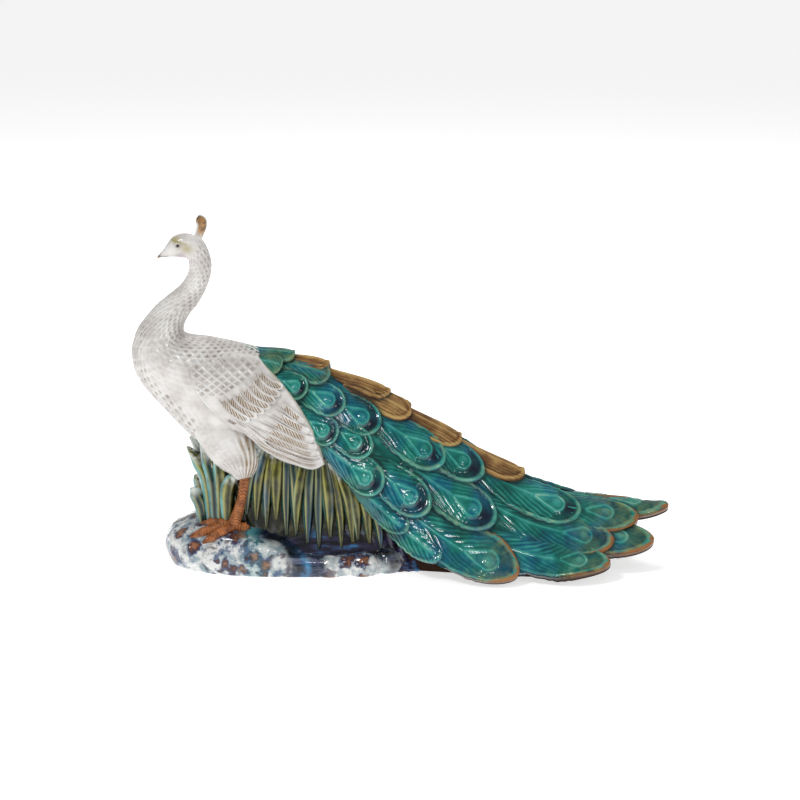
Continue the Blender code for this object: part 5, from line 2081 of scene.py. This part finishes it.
@dataclass(frozen=True)
class WhiteGlaze:
    """Satin white glaze of the bird with beige in its hollows, partly stain and partly painted shade."""

    white: Colour = tint(236, 234, 231)
    shade: Colour = tint(212, 207, 203)
    beige: Colour = tint(158, 142, 126)
    umber: Colour = tint(112, 92, 70)
    tan: Colour = tint(146, 118, 76)
    olive: Colour = tint(176, 164, 112)
    mauve: Colour = tint(176, 156, 170)
    brown: Colour = tint(128, 92, 48)
    gold: Colour = tint(176, 128, 62)
    bark: Colour = tint(92, 62, 36)
    ink: Colour = tint(40, 30, 24)

    def material(self) -> Material:
        """Return the material."""
        paint = Painter("white_glaze")
        clouds = paint.noise(60.0)
        colour = paint.ramp(clouds, ((0.36, self.shade), (0.62, self.white)))
        # Beige and umber of the hollows: partly stain, partly painted shade.
        stain_and_shade = paint.ramp(paint.noise(75.0), ((0.42, self.beige), (0.66, self.umber)))
        faded = paint.span(paint.noise(130.0), 0.32, 0.60, 0.35, 1.0)
        hollow = paint.sum("MULTIPLY", paint.mask("recess_stain_and_shade"), faded)
        colour = paint.over(colour, stain_and_shade, hollow)
        rubbed = paint.span(paint.noise(110.0), 0.30, 0.55, 0.45, 1.0)
        strokes = paint.sum("MULTIPLY", paint.mask("tan"), rubbed)
        colour = paint.over(colour, self.tan, strokes)
        # Painted shade: beige along the wing's front edge and along its leaves' edges.
        colour = paint.stain_and_shade(colour, self.beige, "crevice_shade", 0.8)
        colour = paint.stain_and_shade(colour, self.olive, "blush")
        colour = paint.stain_and_shade(colour, self.mauve, "mauve")
        colour = paint.stain_and_shade(colour, self.brown, "beak", 0.9)
        bronze = paint.ramp(paint.noise(260.0), ((0.40, self.bark), (0.58, self.gold)))
        colour = paint.stain_and_shade(colour, bronze, "gold", 0.95)
        colour = paint.stain_and_shade(colour, self.ink, "dark")
        rough = paint.span(clouds, 0.3, 0.7, 0.26, 0.42)
        paint.clear(0.6, 0.12)
        return paint.finish(colour, rough, paint.noise(420.0), 0.00020)


@dataclass(frozen=True)
class ReedGlaze:
    """Olive glaze of the reeds with turquoise edges and white runs, painted shade in its grooves and gaps,
    and a painted highlight on its ribs.
    """

    olive: Colour = tint(38, 50, 18)
    yellow: Colour = tint(116, 114, 44)
    # straw: the painted highlight on the crests of the reeds' ribs.
    straw: Colour = tint(186, 180, 98)
    teal: Colour = tint(26, 74, 84)
    # dark: painted shade of the grooves and gaps, and the darker ends near the ground.
    dark: Colour = tint(12, 13, 12)
    turquoise: Colour = tint(126, 206, 204)
    night: Colour = tint(14, 16, 28)
    violet: Colour = tint(52, 48, 78)
    sky: Colour = tint(60, 130, 186)
    white: Colour = tint(226, 232, 228)

    def material(self) -> Material:
        """Return the material."""
        paint = Painter("reed_glaze")
        clouds = paint.noise(95.0)
        colour = paint.ramp(clouds, ((0.34, self.olive), (0.64, self.yellow)))
        colour = paint.stain_and_shade(colour, self.teal, "teal", 0.85)
        # Painted highlight on the crests of the ribs.
        colour = paint.stain_and_shade(colour, self.straw, "crown", 0.75)
        colour = paint.stain_and_shade(colour, self.sky, "blue", 0.55)
        # Painted shade on grooves, shaded sides and the mass between the blades.
        colour = paint.stain_and_shade(colour, self.dark, "groove_shade", 0.95)
        line = paint.sum("MULTIPLY", paint.mask("edge"), paint.span(paint.noise(70.0), 0.38, 0.56, 0.3, 1.0))
        colour = paint.over(colour, self.turquoise, line)
        runs = paint.sum("MULTIPLY", paint.mask("drip"), paint.span(paint.noise(120.0), 0.38, 0.54))
        colour = paint.over(colour, self.white, runs)
        colour = paint.stain_and_shade(colour, self.dark, "root", 0.5)
        waves = paint.strands(90.0, (0.35, 1.0, 1.6))
        water = paint.ramp(waves, ((0.46, self.night), (0.58, self.violet), (0.70, self.sky)))
        colour = paint.stain_and_shade(colour, water, "bank")
        rough = paint.span(clouds, 0.3, 0.7, 0.12, 0.26)
        paint.clear(paint.span(paint.mask("groove_shade"), 0.2, 0.9, 1.0, 0.2))
        return paint.finish(colour, rough, paint.noise(500.0), 0.00012)


@dataclass(frozen=True)
class RockGlaze:
    """Foamy white glaze of the rocks with brown, blue and mauve blotches, and the dark pool."""

    white: Colour = tint(230, 231, 228)
    haze: Colour = tint(142, 162, 170)
    rust: Colour = tint(160, 106, 74)
    peat: Colour = tint(78, 48, 44)
    blue: Colour = tint(40, 74, 122)
    mauve: Colour = tint(66, 52, 76)
    night: Colour = tint(22, 24, 34)
    deep: Colour = tint(26, 46, 70)
    violet: Colour = tint(82, 84, 112)
    turquoise: Colour = tint(44, 148, 152)
    sky: Colour = tint(86, 156, 206)

    def material(self) -> Material:
        """Return the material."""
        paint = Painter("rock_glaze")
        bubbles = paint.span(paint.speckle(520.0), 0.0, 0.6)
        foam = paint.ramp(paint.noise(85.0, 5.0, 0.65), ((0.40, self.haze), (0.56, self.white)))
        patches = paint.span(paint.noise(34.0, 6.0, 0.68), 0.53, 0.58)
        colour = paint.over(foam, self.blue, paint.sum("MULTIPLY", patches, 0.80))
        shadows = paint.span(paint.noise(41.0, 6.0, 0.68), 0.54, 0.59)
        colour = paint.over(colour, self.mauve, paint.sum("MULTIPLY", shadows, 0.80))
        cells = paint.speckle(66.0, 0.016)
        pebble = paint.ramp(cells, ((0.14, self.rust), (0.32, self.peat), (0.46, self.blue)))
        shown = paint.span(cells, 0.40, 0.54, 1.0, 0.0)
        some = paint.span(paint.noise(30.0), 0.40, 0.47)
        colour = paint.over(colour, pebble, paint.sum("MULTIPLY", shown, some))
        colour = paint.stain_and_shade(colour, self.turquoise, "lagoon")
        waves = paint.strands(90.0, (0.35, 1.0, 1.6))
        water = paint.ramp(waves, ((0.40, self.night), (0.52, self.deep), (0.60, self.violet),
                                   (0.72, self.haze)))
        colour = paint.stain_and_shade(colour, water, "pool")
        streaks = paint.span(paint.noise(120.0), 0.35, 0.60, 0.1, 0.9)
        flow = paint.sum("MULTIPLY", paint.mask("stream"), streaks)
        colour = paint.over(colour, self.sky, flow)
        rough = paint.span(bubbles, 0.0, 1.0, 0.10, 0.24)
        paint.clear(1.0, 0.04)
        return paint.finish(colour, rough, bubbles, 0.00022)


@dataclass(frozen=True)
class LegGlaze:
    """Orange-brown glaze of the legs with dark creases."""

    amber: Colour = tint(190, 116, 62)
    umber: Colour = tint(122, 66, 32)
    dark: Colour = tint(44, 26, 18)

    def material(self) -> Material:
        """Return the material."""
        paint = Painter("leg_glaze")
        clouds = paint.noise(160.0)
        colour = paint.ramp(clouds, ((0.32, self.umber), (0.62, self.amber)))
        colour = paint.stain_and_shade(colour, self.dark, "scute", 0.8)
        colour = paint.stain_and_shade(colour, self.dark, "claw", 0.75)
        rough = paint.span(clouds, 0.3, 0.7, 0.26, 0.40)
        paint.clear(0.5, 0.15)
        return paint.finish(colour, rough, paint.noise(1200.0), 0.00008)


@dataclass(frozen=True)
class BeadGlaze:
    """Black glossy glaze of the eyes."""

    black: Colour = tint(12, 10, 9)
    brown: Colour = tint(30, 18, 12)

    def material(self) -> Material:
        """Return the material."""
        paint = Painter("bead_glaze")
        clouds = paint.noise(300.0)
        colour = paint.ramp(clouds, ((0.4, self.black), (0.7, self.brown)))
        paint.clear(1.0)
        return paint.finish(colour, paint.span(clouds, 0.3, 0.7, 0.05, 0.10), clouds, 0.00002)


@dataclass(frozen=True)
class Studio:
    """Pale floor, soft lights and the camera at the photograph's angle."""

    elevation: float = 15.0
    distance: float = 2.2
    aim_height: float = 0.1465
    lens: float = 111.24
    sensor: float = 36.0
    floor_size: float = 12.0
    floor_glow: float = 0.66
    ambient: float = 0.25
    light_aim: tuple[float, float, float] = (0.0, 0.0, 0.12)

    def build(self, shift_x: float) -> None:
        """Set up the studio.

        Args:
            shift_x: Where the drawing's zero lies in the row frame.
        """
        scene = bpy.context.scene
        scene.view_settings.view_transform = "Standard"
        self.floor()
        world = bpy.data.worlds.new("studio")
        world.use_nodes = True
        world.node_tree.nodes["Background"].inputs["Color"].default_value = (1.0, 1.0, 1.0, 1.0)
        world.node_tree.nodes["Background"].inputs["Strength"].default_value = self.ambient
        scene.world = world
        self.softbox("key", (-0.9, -1.2, 1.7), 0.30, 13.5)
        self.softbox("fill", (1.5, -1.3, 1.0), 0.36, 3.5)
        self.softbox("front", (0.1, -1.9, 1.5), 0.22, 3.0)
        self.softbox("rim", (0.2, 1.2, 1.6), 0.60, 18.0, mirrored=False)
        aim = Vector((shift_x, 0.0, self.aim_height))
        angle = math.radians(self.elevation)
        back = Vector((0.0, -math.cos(angle), math.sin(angle)))
        data = bpy.data.cameras.new("camera")
        data.lens = self.lens
        data.sensor_width = self.sensor
        camera = bpy.data.objects.new("camera", data)
        camera.location = aim + back * self.distance
        camera.rotation_mode = "QUATERNION"
        camera.rotation_quaternion = (-back).to_track_quat("-Z", "Y")
        scene.collection.objects.link(camera)
        scene.camera = camera

    def floor(self) -> None:
        """Lay the pale floor."""
        half = self.floor_size / 2
        mesh = bpy.data.meshes.new("floor")
        corners = [(-half, -half, 0.0), (half, -half, 0.0), (half, half, 0.0), (-half, half, 0.0)]
        mesh.from_pydata(corners, [], [(0, 1, 2, 3)])
        floor = bpy.data.objects.new("floor", mesh)
        bpy.context.scene.collection.objects.link(floor)
        paint = Painter("floor")
        paint.shader.inputs["Base Color"].default_value = tint(246, 246, 246)
        paint.shader.inputs["Roughness"].default_value = 0.9
        paint.shader.inputs["Emission Color"].default_value = (1.0, 1.0, 1.0, 1.0)
        paint.shader.inputs["Emission Strength"].default_value = self.floor_glow
        floor.data.materials.append(paint.material)

    def softbox(self, name: str, place: tuple[float, float, float], size: float, power: float,
                mirrored: bool = True) -> None:
        """Hang a square soft light that faces the figure.

        Args:
            name: Name of the light.
            place: Where it hangs.
            size: Length of its side in metres.
            power: Strength in watts.
            mirrored: Whether the glossy glazes mirror it.
        """
        data = bpy.data.lights.new(name, "AREA")
        data.size = size
        data.energy = power
        data.specular_factor = float(mirrored)
        light = bpy.data.objects.new(name, data)
        light.location = place
        light.visible_glossy = mirrored
        light.rotation_mode = "QUATERNION"
        aim = Vector(self.light_aim) - Vector(place)
        light.rotation_quaternion = aim.to_track_quat("-Z", "Y")
        bpy.context.scene.collection.objects.link(light)


def main() -> None:
    """Dress the figure piece by piece."""
    logging.basicConfig(level=logging.INFO, format="%(message)s")
    low, high = CAD_BOX
    size = FigureFrame(high[2] - low[2], low[0])
    shift = Vector((size.shift_x, (low[1] + high[1]) / 2, low[2]))
    white = WhiteGlaze().material()
    teal = TealGlaze().material()
    Train().build(shift, teal)
    Bird().build(shift, white, BeadGlaze().material())
    Wing(-1, "wing_left").build(shift, white)
    Wing(1, "wing_right").build(shift, white)
    Rocks().build(shift, RockGlaze().material())
    green = ReedGlaze().material()
    Reeds().build(shift, green)
    Legs().build(shift, LegGlaze().material(), white, green)
    Studio().build(size.shift_x)


if __name__ == "__main__":
    main()
